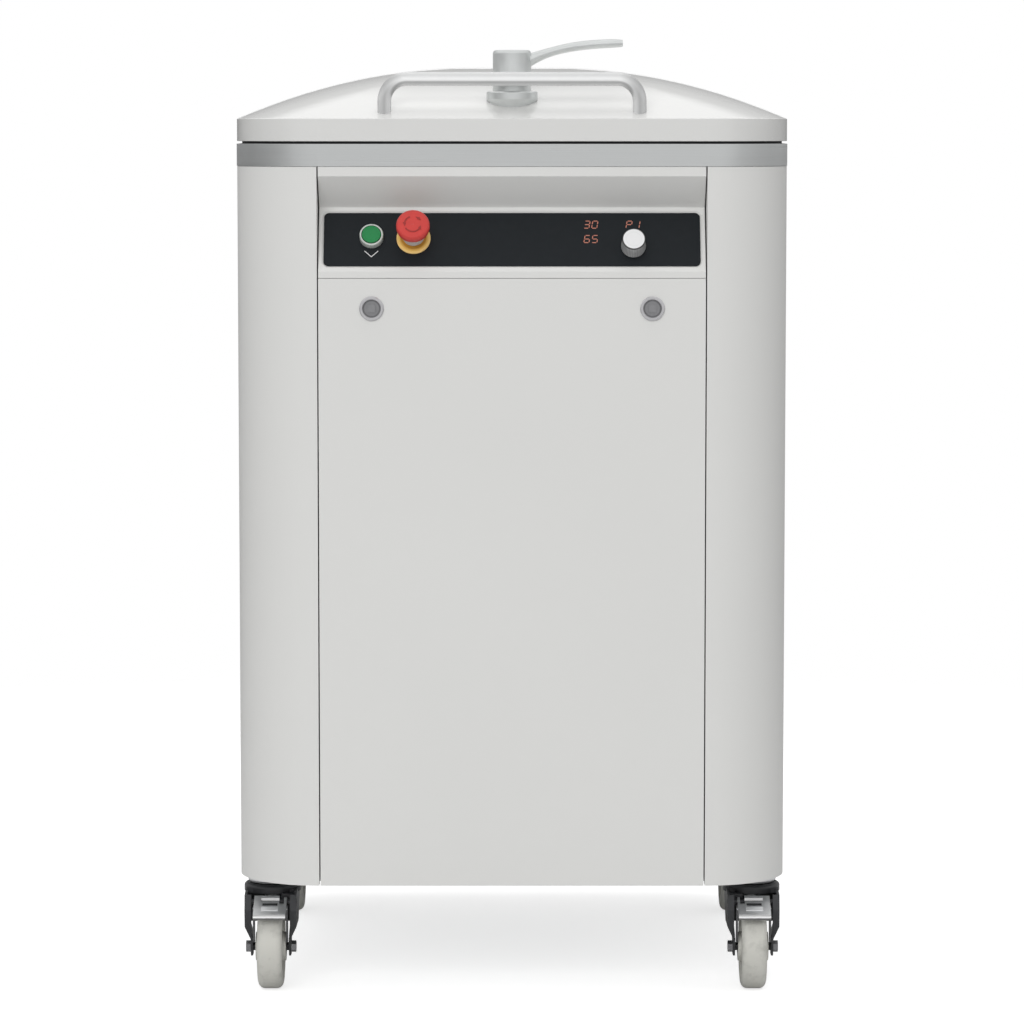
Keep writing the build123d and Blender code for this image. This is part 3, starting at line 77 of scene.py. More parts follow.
# Heights out from the overlay between which the knob's shoulder turns dark as painted shade
KNOB_SHOULDER_PAINTED_SHADE = (0.0205, 0.0216)
KNOB_LINES = 44.0
# Radii over which the lock core's rim darkens with painted shade
LOCK_CORE_SHADE_RADII = (0.0082, 0.0090)
# Heights of the pedal nose's painted shade and painted highlight
PEDAL_NOSE_HEIGHTS = (0.0900, 0.0970)
CORNERS = ("front_left", "front_right", "rear_left", "rear_right")

# Width in metres over which one shade goes over into the next at the rim of a round face
SOFT_EDGE = 0.0004


# Settings

def colour_setting(name, description, default):
    """Colour property in linear RGB."""
    return FloatVectorProperty(
        name=name, description=description, default=default, subtype="COLOR", size=3,
        min=0.0, max=1.0,
    )


def length_setting(name, description, default):
    """Length property in metres."""
    return FloatProperty(
        name=name, description=description, default=default, unit="LENGTH", precision=5
    )


def power_setting(name, description, default):
    """Lamp power property in watts."""
    return FloatProperty(name=name, description=description, default=default, unit="POWER")


def factor_setting(name, description, default):
    """Share from 0 to 1."""
    return FloatProperty(
        name=name, description=description, default=default, subtype="FACTOR", min=0.0, max=1.0
    )


def text_setting(name, description, default):
    """Short text property for the display."""
    return StringProperty(name=name, description=description, default=default)


class DividerFinishes(PropertyGroup):
    """Colours of the machine's finishes."""

    cabinet: colour_setting("Cabinet paint", "Coat of the sheet metal", (0.740, 0.740, 0.724))
    lid: colour_setting("Lid paint", "Smoother paint of the domed lid", (0.722, 0.722, 0.708))
    stainless: colour_setting("Stainless steel", "Brushed band and deck", (0.690, 0.705, 0.705))
    satin: colour_setting("Satin metal", "Lever of the lid lock and its boss", (0.73, 0.75, 0.745))
    zinc: colour_setting("Zinc plate", "Brake pedals, caster heads and screws", (0.80, 0.81, 0.82))
    overlay: colour_setting("Console overlay", "Dark film of the console", (0.0095, 0.0120, 0.0145))
    start: colour_setting("Start button", "Green plastic of the start cap", (0.008, 0.225, 0.060))
    stop: colour_setting("Emergency stop", "Red plastic of the mushroom", (0.57, 0.045, 0.038))
    stop_ring: colour_setting("Stop ring", "Yellow plastic under the mushroom", (1.0, 0.64, 0.17))
    display: colour_setting("Display", "Lit bars of the numbers", (0.42, 0.16, 0.11))
    wheel: colour_setting("Wheel plastic", "Pale nylon of the caster wheels", (0.60, 0.595, 0.55))
    fork: colour_setting("Fork paint", "Dark paint of the caster forks", (0.030, 0.031, 0.034))
    food: colour_setting("Food plastic", "White plastic that touches the dough", (0.80, 0.80, 0.78))
    machine: colour_setting("Machine paint", "Paint of the frame and tank", (0.10, 0.13, 0.16))


class DividerFittings(PropertyGroup):
    """Sizes of the small fittings."""

    screw: length_setting("Panel screw", "Head diameter of the panel screws", 0.008)
    hinge_screw: length_setting("Hinge screw", "Head diameter of the hinge screws", 0.007)
    digit: length_setting("Digit height", "Height of a number on the display", 0.0092)
    edge: length_setting("Sheet edge", "Rounding of the folded sheet's edges", 0.0006)
    upper: text_setting("Upper number", "Number in the display's top row", "30")
    lower: text_setting("Lower number", "Number in the second row", "65")
    setting: text_setting("Setting", "Setting shown above the knob", "P1")
    facets: IntProperty(
        name="Facets", description="Sides of a turned fitting", default=48, min=12, max=96
    )


class DividerStage(PropertyGroup):
    """Light, floor and camera."""

    ambient: factor_setting("Ambient", "Even light from all round", 0.45)
    front: power_setting("Front light", "Power of the large front panel", 80.0)
    top: power_setting("Top light", "Power of the overhead panel", 34.0)
    floor: colour_setting("Floor", "Pale floor", (0.74, 0.74, 0.74))
    floor_lift: factor_setting("Floor lift", "How far the floor seems lifted to white", 0.66)
    floor_radius: length_setting("Floor radius", "Distance at which the floor has faded out", 2.6)
    camera: FloatVectorProperty(
        name="Camera", description="Place of the camera", default=(0.0, -5.268, 1.029),
        subtype="TRANSLATION",
    )
    tilt: FloatProperty(
        name="Tilt", description="Camera's angle from straight down", default=radians(84.75),
        unit="ROTATION",
    )
    lens: FloatProperty(
        name="Lens", description="Focal length in millimetres", default=148.25, min=10.0,
        unit="CAMERA",
    )


# Materials

class Nodes:
    """Short ways to add and join the nodes of one tree."""

    def __init__(self, tree):
        self.tree = tree

    def set(self, node, values):
        """Give inputs their values, or join them to the sockets given."""
        for name, value in values.items():
            if isinstance(value, bpy.types.NodeSocket):
                self.tree.links.new(value, node.inputs[name])
            else:
                node.inputs[name].default_value = value

    def node(self, kind, values=None, **settings):
        """New node with its settings and inputs."""
        node = self.tree.nodes.new(kind)
        for name, value in settings.items():
            setattr(node, name, value)
        self.set(node, values or {})
        return node

    def math(self, operation, *values):
        """Result of a sum on numbers and sockets."""
        inputs = dict(enumerate(values))
        return self.node("ShaderNodeMath", inputs, operation=operation).outputs["Value"]

    def vector_math(self, operation, *vectors):
        """Outputs of a sum on vectors."""
        inputs = dict(enumerate(vectors))
        return self.node("ShaderNodeVectorMath", inputs, operation=operation).outputs

    def parts(self, vector):
        """X, Y and Z of a vector."""
        return self.node("ShaderNodeSeparateXYZ", {"Vector": vector}).outputs

    def spread(self, source, low, high, start=0.3, end=0.7):
        """A value spread between two numbers."""
        return self.node("ShaderNodeMapRange", {
            "Value": source, "From Min": start, "From Max": end, "To Min": low, "To Max": high,
        }).outputs["Result"]

    def ramp(self, source, stops):
        """Colours at places along a value from 0 to 1."""
        ramp = self.node("ShaderNodeValToRGB", {"Fac": source})
        ends = ramp.color_ramp.elements
        while len(ends) < len(stops):
            ends.new(0.5)
        for end, (position, colour) in zip(ends, stops):
            end.position = position
            end.color = (*colour, 1.0)
        return ramp.outputs["Color"]

    def grey_ramp(self, source, stops):
        """Grey levels at places along a value from 0 to 1."""
        return self.ramp(source, [(at, (level,) * 3) for at, level in stops])

    def mix(self, share, first, second):
        """Blend of two colours."""
        mixer = self.node("ShaderNodeMix", {"Factor": share}, data_type="RGBA")
        self.set_colour(mixer, "A", first)
        self.set_colour(mixer, "B", second)
        return next(socket for socket in mixer.outputs if socket.type == "RGBA")

    def set_colour(self, mixer, name, value):
        """Give a blend's colour input its value: inputs of other types share its name."""
        socket = next(s for s in mixer.inputs if s.name == name and s.type == "RGBA")
        if isinstance(value, bpy.types.NodeSocket):
            self.tree.links.new(value, socket)
        else:
            socket.default_value = (value, value, value, 1.0)


class Finish(Nodes):
    """A material in the making, with its shader and its object coordinates."""

    def __init__(self, name, colour, roughness, **sockets):
        self.material = bpy.data.materials.new(name)
        self.material.use_nodes = True
        super().__init__(self.material.node_tree)
        self.shader = self.tree.nodes["Principled BSDF"]
        self.colour = colour
        self.material.diffuse_color = (*colour, 1.0)
        self.set(self.shader, {"Base Color": (*colour, 1.0), "Roughness": roughness, **sockets})
        self.place = self.node("ShaderNodeTexCoord").outputs["Object"]

    def noise(self, scale, stretch=(1, 1, 1), detail=3.0, rough=0.55):
        """Noise in object space: scale in waves per metre, stretch per axis."""
        mapping = self.node("ShaderNodeMapping", {"Vector": self.place, "Scale": stretch})
        place = mapping.outputs["Vector"]
        values = {"Vector": place, "Scale": scale, "Detail": detail, "Roughness": rough}
        return self.node("ShaderNodeTexNoise", values).outputs["Fac"]

    def tint(self, source, dark, light=1.0, start=0.3, end=0.7):
        """The base colour goes from a darker to a lighter shade with a value."""
        shades = [tuple(min(c * share, 1.0) for c in self.colour) for share in (dark, light)]
        shade = self.ramp(source, ((start, shades[0]), (end, shades[1])))
        self.set(self.shader, {"Base Color": shade})
        return shade

    def shade(self, share):
        """The base colour is darkened to a share of itself."""
        self.tint(share, 0.0, 1.0, 0.0, 1.0)

    def gloss(self, source, low, high):
        """Roughness follows a noise value."""
        self.set(self.shader, {"Roughness": self.spread(source, low, high)})

    def length(self, across, up):
        """Distance from its two parts."""
        squares = [self.math("MULTIPLY", part, part) for part in (across, up)]
        return self.math("SQRT", self.math("ADD", *squares))

    def slope_offset(self, centre):
        """How far a point is from a place on the console: across, up the slope and out from it."""
        offset = self.vector_math("SUBTRACT", self.place, centre)["Vector"]
        axes = ((1.0, 0.0, 0.0), SLOPE_RISE, SLOPE_OUT)
        return [self.vector_math("DOT_PRODUCT", offset, axis)["Value"] for axis in axes]

    def relief(self, source, depth):
        """Bump from a height, its depth in metres."""
        bump = self.node("ShaderNodeBump", {"Height": source, "Distance": depth, "Strength": 1.0})
        self.set(self.shader, {"Normal": bump.outputs["Normal"]})


def painted(name, colour, rough, peel, **sockets):
    """Powder coat: fine orange peel, faint clouding and uneven gloss."""
    finish = Finish(name, colour, rough, **sockets)
    finish.tint(finish.noise(4.0, detail=2.0), 0.992, 1.006)
    finish.gloss(finish.noise(30.0), rough - 0.03, rough + 0.03)
    finish.relief(finish.noise(620.0, detail=2.0), peel)
    return finish.material


def brushed(name, colour, rough, stretch, shades=(0.86, 1.06)):
    """Brushed metal: long fine scratches across the stretched axis, with a soft change of shade."""
    finish = Finish(name, colour, rough, Metallic=1.0)
    lines = finish.noise(1.0, stretch, detail=6.0, rough=0.7)
    clouds = finish.noise(1.0, tuple(s * 0.4 for s in stretch), detail=4.0)
    finish.tint(lines, *shades)
    finish.gloss(clouds, rough - 0.07, rough + 0.08)
    finish.relief(lines, 0.00002)
    return finish.material


def satin(name, colour, rough, grain=900.0, metallic=0.8, depth=0.000012):
    """Blasted or plated metal: tiny even grain and faint handling marks."""
    finish = Finish(name, colour, rough, Metallic=metallic)
    finish.tint(finish.noise(24.0, detail=5.0), 0.93, 1.04)
    finish.gloss(finish.noise(90.0, detail=4.0), rough - 0.06, rough + 0.07)
    finish.relief(finish.noise(grain, detail=2.0), depth)
    return finish.material


def drawn_tube(name, colour, rough):
    """Bent tube, brushed along its length: reflections spread round the bar and round the legs.

    Painted reflection in the base colour, by the surface's direction: on the bar a dark line low
    down, a bright middle band and a duller top; painted shade darkens the legs, most in their
    middle.
    """
    finish = Finish(name, colour, rough, Metallic=0.20, Anisotropic=0.95,
                    **{"Anisotropic Rotation": 0.25})
    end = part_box("lid_handle")[1].x
    bend = (end - 0.030, end - 0.008)
    across = finish.parts(finish.place)["X"]
    leg = finish.spread(finish.math("ABSOLUTE", across), 0.0, 1.0, *bend)
    down = finish.math("MULTIPLY", finish.math("SIGN", across), finish.math("SUBTRACT", 0.0, leg))
    along = finish.math("SUBTRACT", 1.0, leg)
    course = finish.node("ShaderNodeCombineXYZ", {"X": along, "Z": down}).outputs["Vector"]
    finish.set(finish.shader, {"Tangent": course})
    normal = finish.parts(finish.node("ShaderNodeTexCoord").outputs["Normal"])
    # Painted reflection round the bar, by the height of the surface's normal
    painted_reflection_bands = (
        (0.0, 0.86), (0.10, 0.72), (0.25, 0.48), (0.325, 0.62), (0.40, 0.98),
        (0.48, 1.0), (0.55, 0.97), (0.70, 0.75), (0.78, 0.67), (0.92, 0.70),
    )
    bar = finish.grey_ramp(finish.spread(normal["Z"], 0.0, 1.0, -1.0, 1.0), painted_reflection_bands)
    # Painted shade on the legs: darkest where they face the front, lighter towards their sides
    side = finish.spread(finish.math("ABSOLUTE", normal["X"]), 0.50, 0.70, 0.05, 0.70)
    painted_leg_shade = finish.math("MULTIPLY_ADD", leg, finish.math("SUBTRACT", side, 1.0), 1.0)
    grain = finish.spread(finish.noise(24.0, detail=5.0), 0.97, 1.0)
    finish.shade(finish.math("MULTIPLY", finish.math("MULTIPLY", bar, painted_leg_shade), grain))
    finish.gloss(finish.noise(90.0, detail=4.0), rough - 0.04, rough + 0.05)
    return finish.material


def moulded(name, colour, rough, grain=1500.0, depth=0.00001, shades=(0.95, 1.04), **sockets):
    """Moulded plastic: a fine mould texture and slightly uneven colour."""
    finish = Finish(name, colour, rough, **sockets)
    finish.tint(finish.noise(60.0, detail=4.0), *shades)
    finish.gloss(finish.noise(140.0), rough - 0.05, rough + 0.06)
    finish.relief(finish.noise(grain, detail=2.0), depth)
    return finish.material


def knurled(name, colour, rough):
    """Setting knob: bright face, fine ring, darker side with grip lines, painted shade on its
    shoulder.
    """
    finish = Finish(name, colour, rough, Metallic=0.45)
    across, up, out = finish.slope_offset(on_slope(*KNOB_AT).translation)
    reach = finish.length(across, up)
    face = finish.spread(reach, 1.0, 0.0, KNOB_FACE_RADIUS, KNOB_FACE_RADIUS + SOFT_EDGE)
    to_ring = finish.math("ABSOLUTE", finish.math("SUBTRACT", reach, KNOB_FACE_RADIUS * 0.72))
    ring = finish.spread(to_ring, 0.93, 1.0, 0.0, 0.0005)
    turn = finish.math("ARCTAN2", across, up)
    grip = finish.math("SINE", finish.math("MULTIPLY", turn, KNOB_LINES))
    lines = finish.spread(grip, 0.58, 0.86, -0.6, 0.6)
    # Painted shade: the shoulder round the face is darkened almost to black
    side = finish.math("MULTIPLY", lines, finish.spread(out, 1.0, 0.14, *KNOB_SHOULDER_PAINTED_SHADE))
    finish.shade(finish.math("MAXIMUM", side, finish.math("MULTIPLY", face, ring)))
    finish.relief(finish.math("MULTIPLY", grip, finish.math("SUBTRACT", 1.0, face)), 0.00012)
    return finish.material


def rimmed(name, colour, rough):
    """Start cap: moulded plastic whose rim lies in the shade of the ring round it."""
    finish = Finish(name, colour, rough)
    reach = finish.length(*finish.slope_offset(on_slope(*START_AT).translation)[:2])
    rim = finish.spread(reach, 1.0, 0.35, START_CAP_RADIUS, START_CAP_RADIUS + SOFT_EDGE)
    clouds = finish.spread(finish.noise(60.0, detail=4.0), 0.95, 1.0)
    finish.shade(finish.math("MULTIPLY", rim, clouds))
    finish.gloss(finish.noise(140.0), rough - 0.05, rough + 0.06)
    return finish.material


def ringed(name, colour, rough):
    """Emergency stop ring: painted shade round its middle, a painted highlight along its rim."""
    finish = Finish(name, colour, rough)
    reach = finish.length(*finish.slope_offset(on_slope(*STOP_AT).translation)[:2])
    reach = finish.math("MULTIPLY_ADD", finish.noise(300.0), 0.0005, reach)
    # Painted light: shade under the mushroom at the inner radius, a whitish highlight at the rim
    ring_painted_shade, body, bright = (
        tuple(c * share for c, share in zip(colour, shares))
        for shares in ((0.72, 0.56, 0.30), (0.92, 0.92, 0.92), (1.0, 1.04, 1.5))
    )
    course = finish.spread(reach, 0.0, 1.0, *STOP_RING_RADII)
    shade = finish.ramp(course, ((0.0, ring_painted_shade), (0.60, body), (1.0, bright)))
    finish.set(finish.shader, {"Base Color": shade})
    finish.gloss(finish.noise(140.0), rough - 0.05, rough + 0.06)
    return finish.material


def nose_with_painted_light(name, colour, rough):
    """Rolled front edge of a pedal: dull above, a painted highlight on its bend, painted shade
    beneath.
    """
    finish = Finish(name, colour, rough, Metallic=0.3)
    height = finish.parts(finish.place)["Z"]
    height = finish.math("MULTIPLY_ADD", finish.noise(180.0), 0.0006, height)
    # Painted light by height: shade at the bottom, a highlight band on the bend, duller above
    stops = ((0.0, 0.12), (0.36, 0.14), (0.46, 1.0), (0.62, 1.0), (0.74, 0.55))
    shades = [(at, tuple(c * share for c in colour)) for at, share in stops]
    course = finish.spread(height, 0.0, 1.0, *PEDAL_NOSE_HEIGHTS)
    finish.set(finish.shader, {"Base Color": finish.ramp(course, shades)})
    finish.gloss(finish.noise(90.0, detail=4.0), rough - 0.06, rough + 0.07)
    return finish.material


def lock_cylinder(name, colour, rough):
    """Panel lock's turning core: grey in its recess, painted shade round its rim, a little handling
    wear.
    """
    finish = Finish(name, colour, rough, Metallic=0.6)
    place = finish.parts(finish.place)
    middle_x = (sum(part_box("panel_lock_core_right"), Vector()) / 2).x
    middle_z = (sum(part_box("panel_lock_housings"), Vector()) / 2).z
    across = finish.math("SUBTRACT", finish.math("ABSOLUTE", place["X"]), middle_x)
    reach = finish.length(across, finish.math("SUBTRACT", place["Z"], middle_z))
    # Painted shade: the core's face darkens towards its rim, where the recess would shade it
    core_rim_painted_shade = finish.spread(reach, 1.0, 0.70, *LOCK_CORE_SHADE_RADII)
    wear = finish.spread(finish.noise(300.0), 0.92, 1.0)
    finish.shade(finish.math("MULTIPLY", core_rim_painted_shade, wear))
    finish.gloss(finish.noise(200.0), rough - 0.05, rough + 0.06)
    return finish.material


def scuffed(name, colour, rough):
    """Pale plastic that rolls on a floor: soft grey scuffs in a waxy body."""
    finish = Finish(name, colour, rough)
    finish.tint(finish.noise(42.0, detail=6.0, rough=0.65), 0.80, 1.02, 0.32, 0.52)
    finish.gloss(finish.noise(75.0, detail=4.0), rough - 0.06, rough + 0.12)
    finish.relief(finish.noise(260.0, detail=4.0), 0.00004)
    return finish.material


def lit(name, colour, strength):
    """Glowing display bars of slightly uneven brightness."""
    finish = Finish(name, colour, 0.4, **{"Emission Strength": strength})
    glow = finish.tint(finish.noise(900.0, detail=1.0), 0.86, 1.0)
    finish.set(finish.shader, {"Emission Color": glow})
    return finish.material


def make_finishes():
    """Every material of the machine, by its slot in the record or by a name of its own."""
    tone = bpy.context.scene.divider_finishes
    clear_coat = {"Specular IOR Level": 0.7, "Coat Weight": 1.0, "Coat Roughness": 0.05}
    dull_film = {"Specular IOR Level": 0.21}
    # Arrows a darker red than the mushroom: painted shade for their moulded relief
    arrow_painted_shade_red = tuple(c * 0.55 for c in tone.stop)
    return {
        "cabinet_paint": painted("cabinet_powder_coat", tone.cabinet, 0.42, 0.00003),
        "lid_paint": painted("lid_gloss_coat", tone.lid, 0.14, 0.000006, **clear_coat),
        "stainless": brushed(
            "brushed_stainless", tone.stainless, 0.34, (7.0, 7.0, 1500.0), (0.965, 1.02)),
        "deck_steel": brushed(
            "brushed_deck", tone.stainless, 0.36, (7.0, 1500.0, 7.0), (0.93, 1.03)),
        "blade_steel": brushed("ground_blade_steel", (0.55, 0.56, 0.57), 0.26, (60.0, 60.0, 900.0)),
        "satin_metal": satin("satin_aluminium", tone.satin, 0.34),
        "zinc": satin("bright_zinc", tone.zinc, 0.45, grain=380.0, metallic=0.6, depth=0.00002),
        "overlay": moulded("console_film", tone.overlay, 0.45, grain=2200.0, **dull_film),
        "red_plastic": moulded("stop_red", tone.stop, 0.36),
        "yellow_plastic": ringed("stop_yellow_painted_light", tone.stop_ring, 0.38),
        "grey_plastic": moulded("collar_grey", (0.56, 0.54, 0.55), 0.36),
        "white_food_plastic": moulded(
            "food_white", tone.food, 0.45, grain=700.0, depth=0.00003, shades=(0.985, 1.01)),
        "wheel_plastic": scuffed("wheel_nylon", tone.wheel, 0.42),
        "gasket": moulded(
            "gasket_rubber", (0.022, 0.022, 0.023), 0.70, grain=900.0, depth=0.00004),
        "fork_paint": painted("fork_black_coat", tone.fork, 0.38, 0.00008),
        "machine_steel": satin("machine_steel", (0.42, 0.42, 0.43), 0.36, grain=500.0),
        "machine_paint": painted("machine_enamel", tone.machine, 0.48, 0.0001),
        "cast_aluminium": satin(
            "cast_aluminium", (0.52, 0.52, 0.53), 0.50, grain=300.0, depth=0.00006),
        "black_plastic": moulded("black_plastic", (0.025, 0.025, 0.027), 0.46),
        "display": lit("display_bars", tone.display, 0.42),
        "legend": moulded("legend_white", (0.80, 0.80, 0.80), 0.5),
        "lock_core": lock_cylinder("lock_core_grey_painted_shade", (0.31, 0.31, 0.32), 0.50),
        "lock_ring": satin("lock_ring_satin", (0.61, 0.605, 0.62), 0.40),
        "pedal_steel": satin(
            "pedal_zinc", tone.zinc, 0.40, grain=380.0, metallic=0.9, depth=0.00002),
        "knob": knurled("knob_turned_painted_shade", (0.83, 0.83, 0.835), 0.34),
        "start_bezel": satin("start_bezel_chrome", (0.72, 0.76, 0.72), 0.32, metallic=0.35),
        "start_cap": rimmed("start_green", tone.start, 0.34),
        "handle": drawn_tube("handle_satin_painted_reflection", (0.99, 0.995, 0.995), 0.42),
        "bolt_steel": satin("bolt_steel", (0.25, 0.25, 0.26), 0.30, metallic=0.9),
        # Near-black side arms of the zinc pedal: painted shade beside the wheel
        "pedal_arm": satin("pedal_arm_painted_shade", (0.13, 0.13, 0.135), 0.42),
        # Near-white wall in the pedal's slot: painted highlight
        "pedal_edge": satin("pedal_slot_painted_highlight", (0.92, 0.92, 0.92), 0.40, metallic=0.0),
        "pedal_nose": nose_with_painted_light("pedal_nose_painted_light", (0.90, 0.90, 0.90), 0.40),
        # Turn arrows: darker red as painted shade
        "stop_arrow": moulded("stop_arrow_red", arrow_painted_shade_red, 0.42),
    }


FINISHES = {}


def finish_for(slot):
    """Material of a slot; all are made at the first call."""
    if not FINISHES:
        FINISHES.update(make_finishes())
    return FINISHES[slot]


# Mesh helpers

SHARP_ANGLE = radians(38.0)
BEVEL_ANGLE = radians(50.0)
WELD_REACH = 0.00002


def circle(radius, z, count):
    """Ring of points about Z."""
    angles = [2 * pi * i / count for i in range(count)]
    return [Vector((radius * cos(angle), radius * sin(angle), z)) for angle in angles]


def hexagon(apothem, z, count):
    """Ring of points on a hexagon, as many as on the round rings that it joins."""
    ring = []
    for i in range(count):
        angle = 2 * pi * i / count
        reach = apothem / cos((angle % (pi / 3)) - pi / 6)
        ring.append(Vector((reach * cos(angle), reach * sin(angle), z)))
    return ring


def skin(loops, first=True):
    """Points and faces of a skin over equal rings, capped at the last and, if asked, the first."""
    count = len(loops[0])
    points = [point for loop in loops for point in loop]
    faces = []
    for row in range(len(loops) - 1):
        low, high = row * count, (row + 1) * count
        for i in range(count):
            j = (i + 1) % count
            faces.append((low + i, low + j, high + j, high + i))
    if first:
        faces.append(tuple(reversed(range(count))))
    faces.append(tuple(range(len(points) - count, len(points))))
    return points, faces


def turned(profile):
    """Turned shape from (radius, height) pairs, listed from the bottom up the outside."""
    count = bpy.context.scene.divider_fittings.facets
    return skin([circle(radius, z, count) for radius, z in profile])


def socket_screw(diameter):
    """Low button head with a hexagon socket."""
    radius, height, count = diameter / 2, diameter * 0.34, 36
    rounds = [(1.0, 0.0), (1.0, 0.25), (0.93, 0.6), (0.78, 0.88), (0.56, 1.0)]
    loops = [circle(radius * r, height * z, count) for r, z in rounds]
    loops += [hexagon(radius * 0.42, height * z, count) for z in (0.98, 0.35)]
    return skin(loops)


def ribbon(path, half, low, high):
    """Flat bar of even width along points in the XY plane, mitred at its corners."""
    path = [Vector((x, y, 0.0)) for x, y in path]
    up = Vector((0.0, 0.0, 1.0))
    loops = []
    for i, point in enumerate(path):
        before = (point - path[i - 1]).normalized() if i else None
        after = (path[i + 1] - point).normalized() if i + 1 < len(path) else None
        along = ((before or after) + (after or before)).normalized()
        side = up.cross(along) * (half / max(along.dot(after or before), 0.4))
        corners = ((-side, low), (side, low), (side, high), (-side, high))
        loops.append([point + edge + up * height for edge, height in corners])
    points, faces = skin(loops)
    return points, [tuple(reversed(face)) for face in faces]


def prism(outline, low, high):
    """Straight prism of an outline in the XY plane, listed counter-clockwise."""
    return skin([[Vector((x, y, z)) for x, y in outline] for z in (low, high)])


def facing(point, normal, turn=0.0):
    """Place whose Z axis points along a normal."""
    spin = Vector(normal).to_track_quat("Z", "Y").to_matrix().to_4x4()
    return Matrix.Translation(point) @ spin @ Matrix.Rotation(turn, 4, "Z")


def on_slope(x, up, out=0.0):
    """Place on the console: across, up the slope and out from the overlay's middle plane."""
    across = Vector((1.0, 0.0, 0.0))
    origin = SLOPE_MIDDLE + across * x + SLOPE_RISE * up + SLOPE_OUT * out
    axes = Matrix((across, SLOPE_RISE, SLOPE_OUT)).transposed().to_4x4()
    return Matrix.Translation(origin) @ axes


def piece(name, shapes, body, slot, material=None):
    """One object from placed shapes, on a body, with the finish of its slot or another."""
    points, faces = [], []
    for place, (own_points, own_faces) in shapes:
        start = len(points)
        points += [place @ point for point in own_points]
        faces += [tuple(start + i for i in face) for face in own_faces]
    mesh = bpy.data.meshes.new(name)
    mesh.from_pydata(points, [], faces)
    mesh.materials.append(finish_for(material or slot))
    mesh.shade_smooth()
    mesh.set_sharp_from_angle(angle=SHARP_ANGLE)
    mesh.update()
    made = bpy.data.objects.new(name, mesh)
    bpy.context.scene.collection.objects.link(made)
    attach(made, body)


def bevel(name, width):
    """Round the sharp edges of a solid, which keeps its own mesh."""
    modifiers = NODES[name].modifiers
    weld = modifiers.new("join_points", "WELD")
    weld.merge_threshold = WELD_REACH
    rounding = modifiers.new("edge_rounding", "BEVEL")
    rounding.width = width
    rounding.segments = 2
    rounding.limit_method = "ANGLE"
    rounding.angle_limit = BEVEL_ANGLE
    rounding.use_clamp_overlap = True
    normals = modifiers.new("even_normals", "WEIGHTED_NORMAL")
    normals.keep_sharp = True


def dress(*names, material=None):
    """Give solids the finish of their slot in the record, or another one."""
    for name in names:
        solid = NODES[name]
        solid.data.materials.clear()
        solid.data.materials.append(finish_for(material or SLOT_OF[name]))


def dress_faces(name, material, chosen):
    """Give some faces of a solid a finish of their own: those whose centre passes a test."""
    solid = NODES[name]
    solid.data.materials.append(finish_for(material))
    for face in solid.data.polygons:
        if chosen(solid.matrix_world @ face.center):
            face.material_index = len(solid.data.materials) - 1


# Operators, one for each piece or group of like pieces

class DIVIDER_OT_cabinet(Operator):
    """Paint the sheet metal and add the screws of the rear panel"""

    bl_idname = "divider.cabinet"
    bl_label = "Cabinet"

    def execute(self, context):
        sheets = (
            "left_side_shell", "right_side_shell", "front_panel", "rear_panel", "control_console",
        )
        dress(*sheets)
        dress("base_tray", material="deck_steel")
        sizes = context.scene.divider_fittings
        for name in sheets:
            if name != "front_panel":
                bevel(name, sizes.edge)
        low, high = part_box("rear_panel")
        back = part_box("left_side_shell")[1].y
        inset, margin, gaps = 0.010, 0.03, 4
        height = high.z - low.z - 2 * margin
        rows = [low.z + margin + height * step / gaps for step in range(gaps + 1)]
        spots = [(side * (high.x - inset), back, z) for side in (-1, 1) for z in rows]
        screw = socket_screw(sizes.screw)
        heads = [(facing(spot, (0, 1, 0), turn=spot[2]), screw) for spot in spots]
        piece("rear_panel_screws", heads, "cabinet", "zinc")
        return {"FINISHED"}


# Bars of a number between the corners of two stacked cells, and the bars that each sign lights
BARS = {
    "a": ((0, 2), (1, 2)), "b": ((1, 2), (1, 1)), "c": ((1, 1), (1, 0)), "d": ((0, 0), (1, 0)),
    "e": ((0, 0), (0, 1)), "f": ((0, 1), (0, 2)), "g": ((0, 1), (1, 1)),
}
SIGNS = {
    " ": "", "0": "abcdef", "1": "bc", "2": "abged", "3": "abgcd", "4": "fgbc", "5": "afgcd",
    "6": "afgedc", "7": "abc", "8": "abcdefg", "9": "abcdfg", "P": "abefg",
}


def number_bars(text, left, bottom, height):
    """Lit bars of a row of slanted seven-bar signs on the overlay, a height apart."""
    cell, wide, half = height / 2, height * 0.66, height * 0.055
    lean, gap = 0.17, 0.12
    shapes = []
    for index, sign in enumerate(text):
        place = on_slope(left + index * height, bottom)
        for bar in SIGNS[sign]:
            first, second = BARS[bar]
            ends = []
            for here, there in ((first, second), (second, first)):
                x = here[0] + (there[0] - here[0]) * gap
                y = here[1] + (there[1] - here[1]) * gap
                ends.append((x * wide + y * cell * lean, y * cell))
            shapes.append((place, ribbon(ends, half, OVERLAY_FACE, NUMBER_TOP)))
    return shapes


class DIVIDER_OT_console_face(Operator):
    """Finish the dark overlay and add the display's numbers and the start mark"""

    bl_idname = "divider.console_face"
    bl_label = "Console face"

    def execute(self, context):
        sizes = context.scene.divider_fittings
        dress("console_overlay")
        dress("switch_blocks")
        left, setting_left, upper_row, lower_row = 0.0840, 0.1334, 0.0153, -0.0034
        shapes = number_bars(sizes.upper, left, upper_row, sizes.digit)
        shapes += number_bars(sizes.lower, left, lower_row, sizes.digit)
        shapes += number_bars(sizes.setting, setting_left, upper_row, sizes.digit)
        piece("display_numbers", shapes, "cabinet", "overlay", "display")
        wide, tall, half, below = 0.0080, 0.0038, 0.00045, -0.0180
        bends = [(-wide, tall), (0.0, -tall), (wide, tall)]
        mark = (on_slope(START_AT[0], below), ribbon(bends, half, OVERLAY_FACE, MARK_TOP))
        piece("start_mark", [mark], "cabinet", "overlay", "legend")
        return {"FINISHED"}


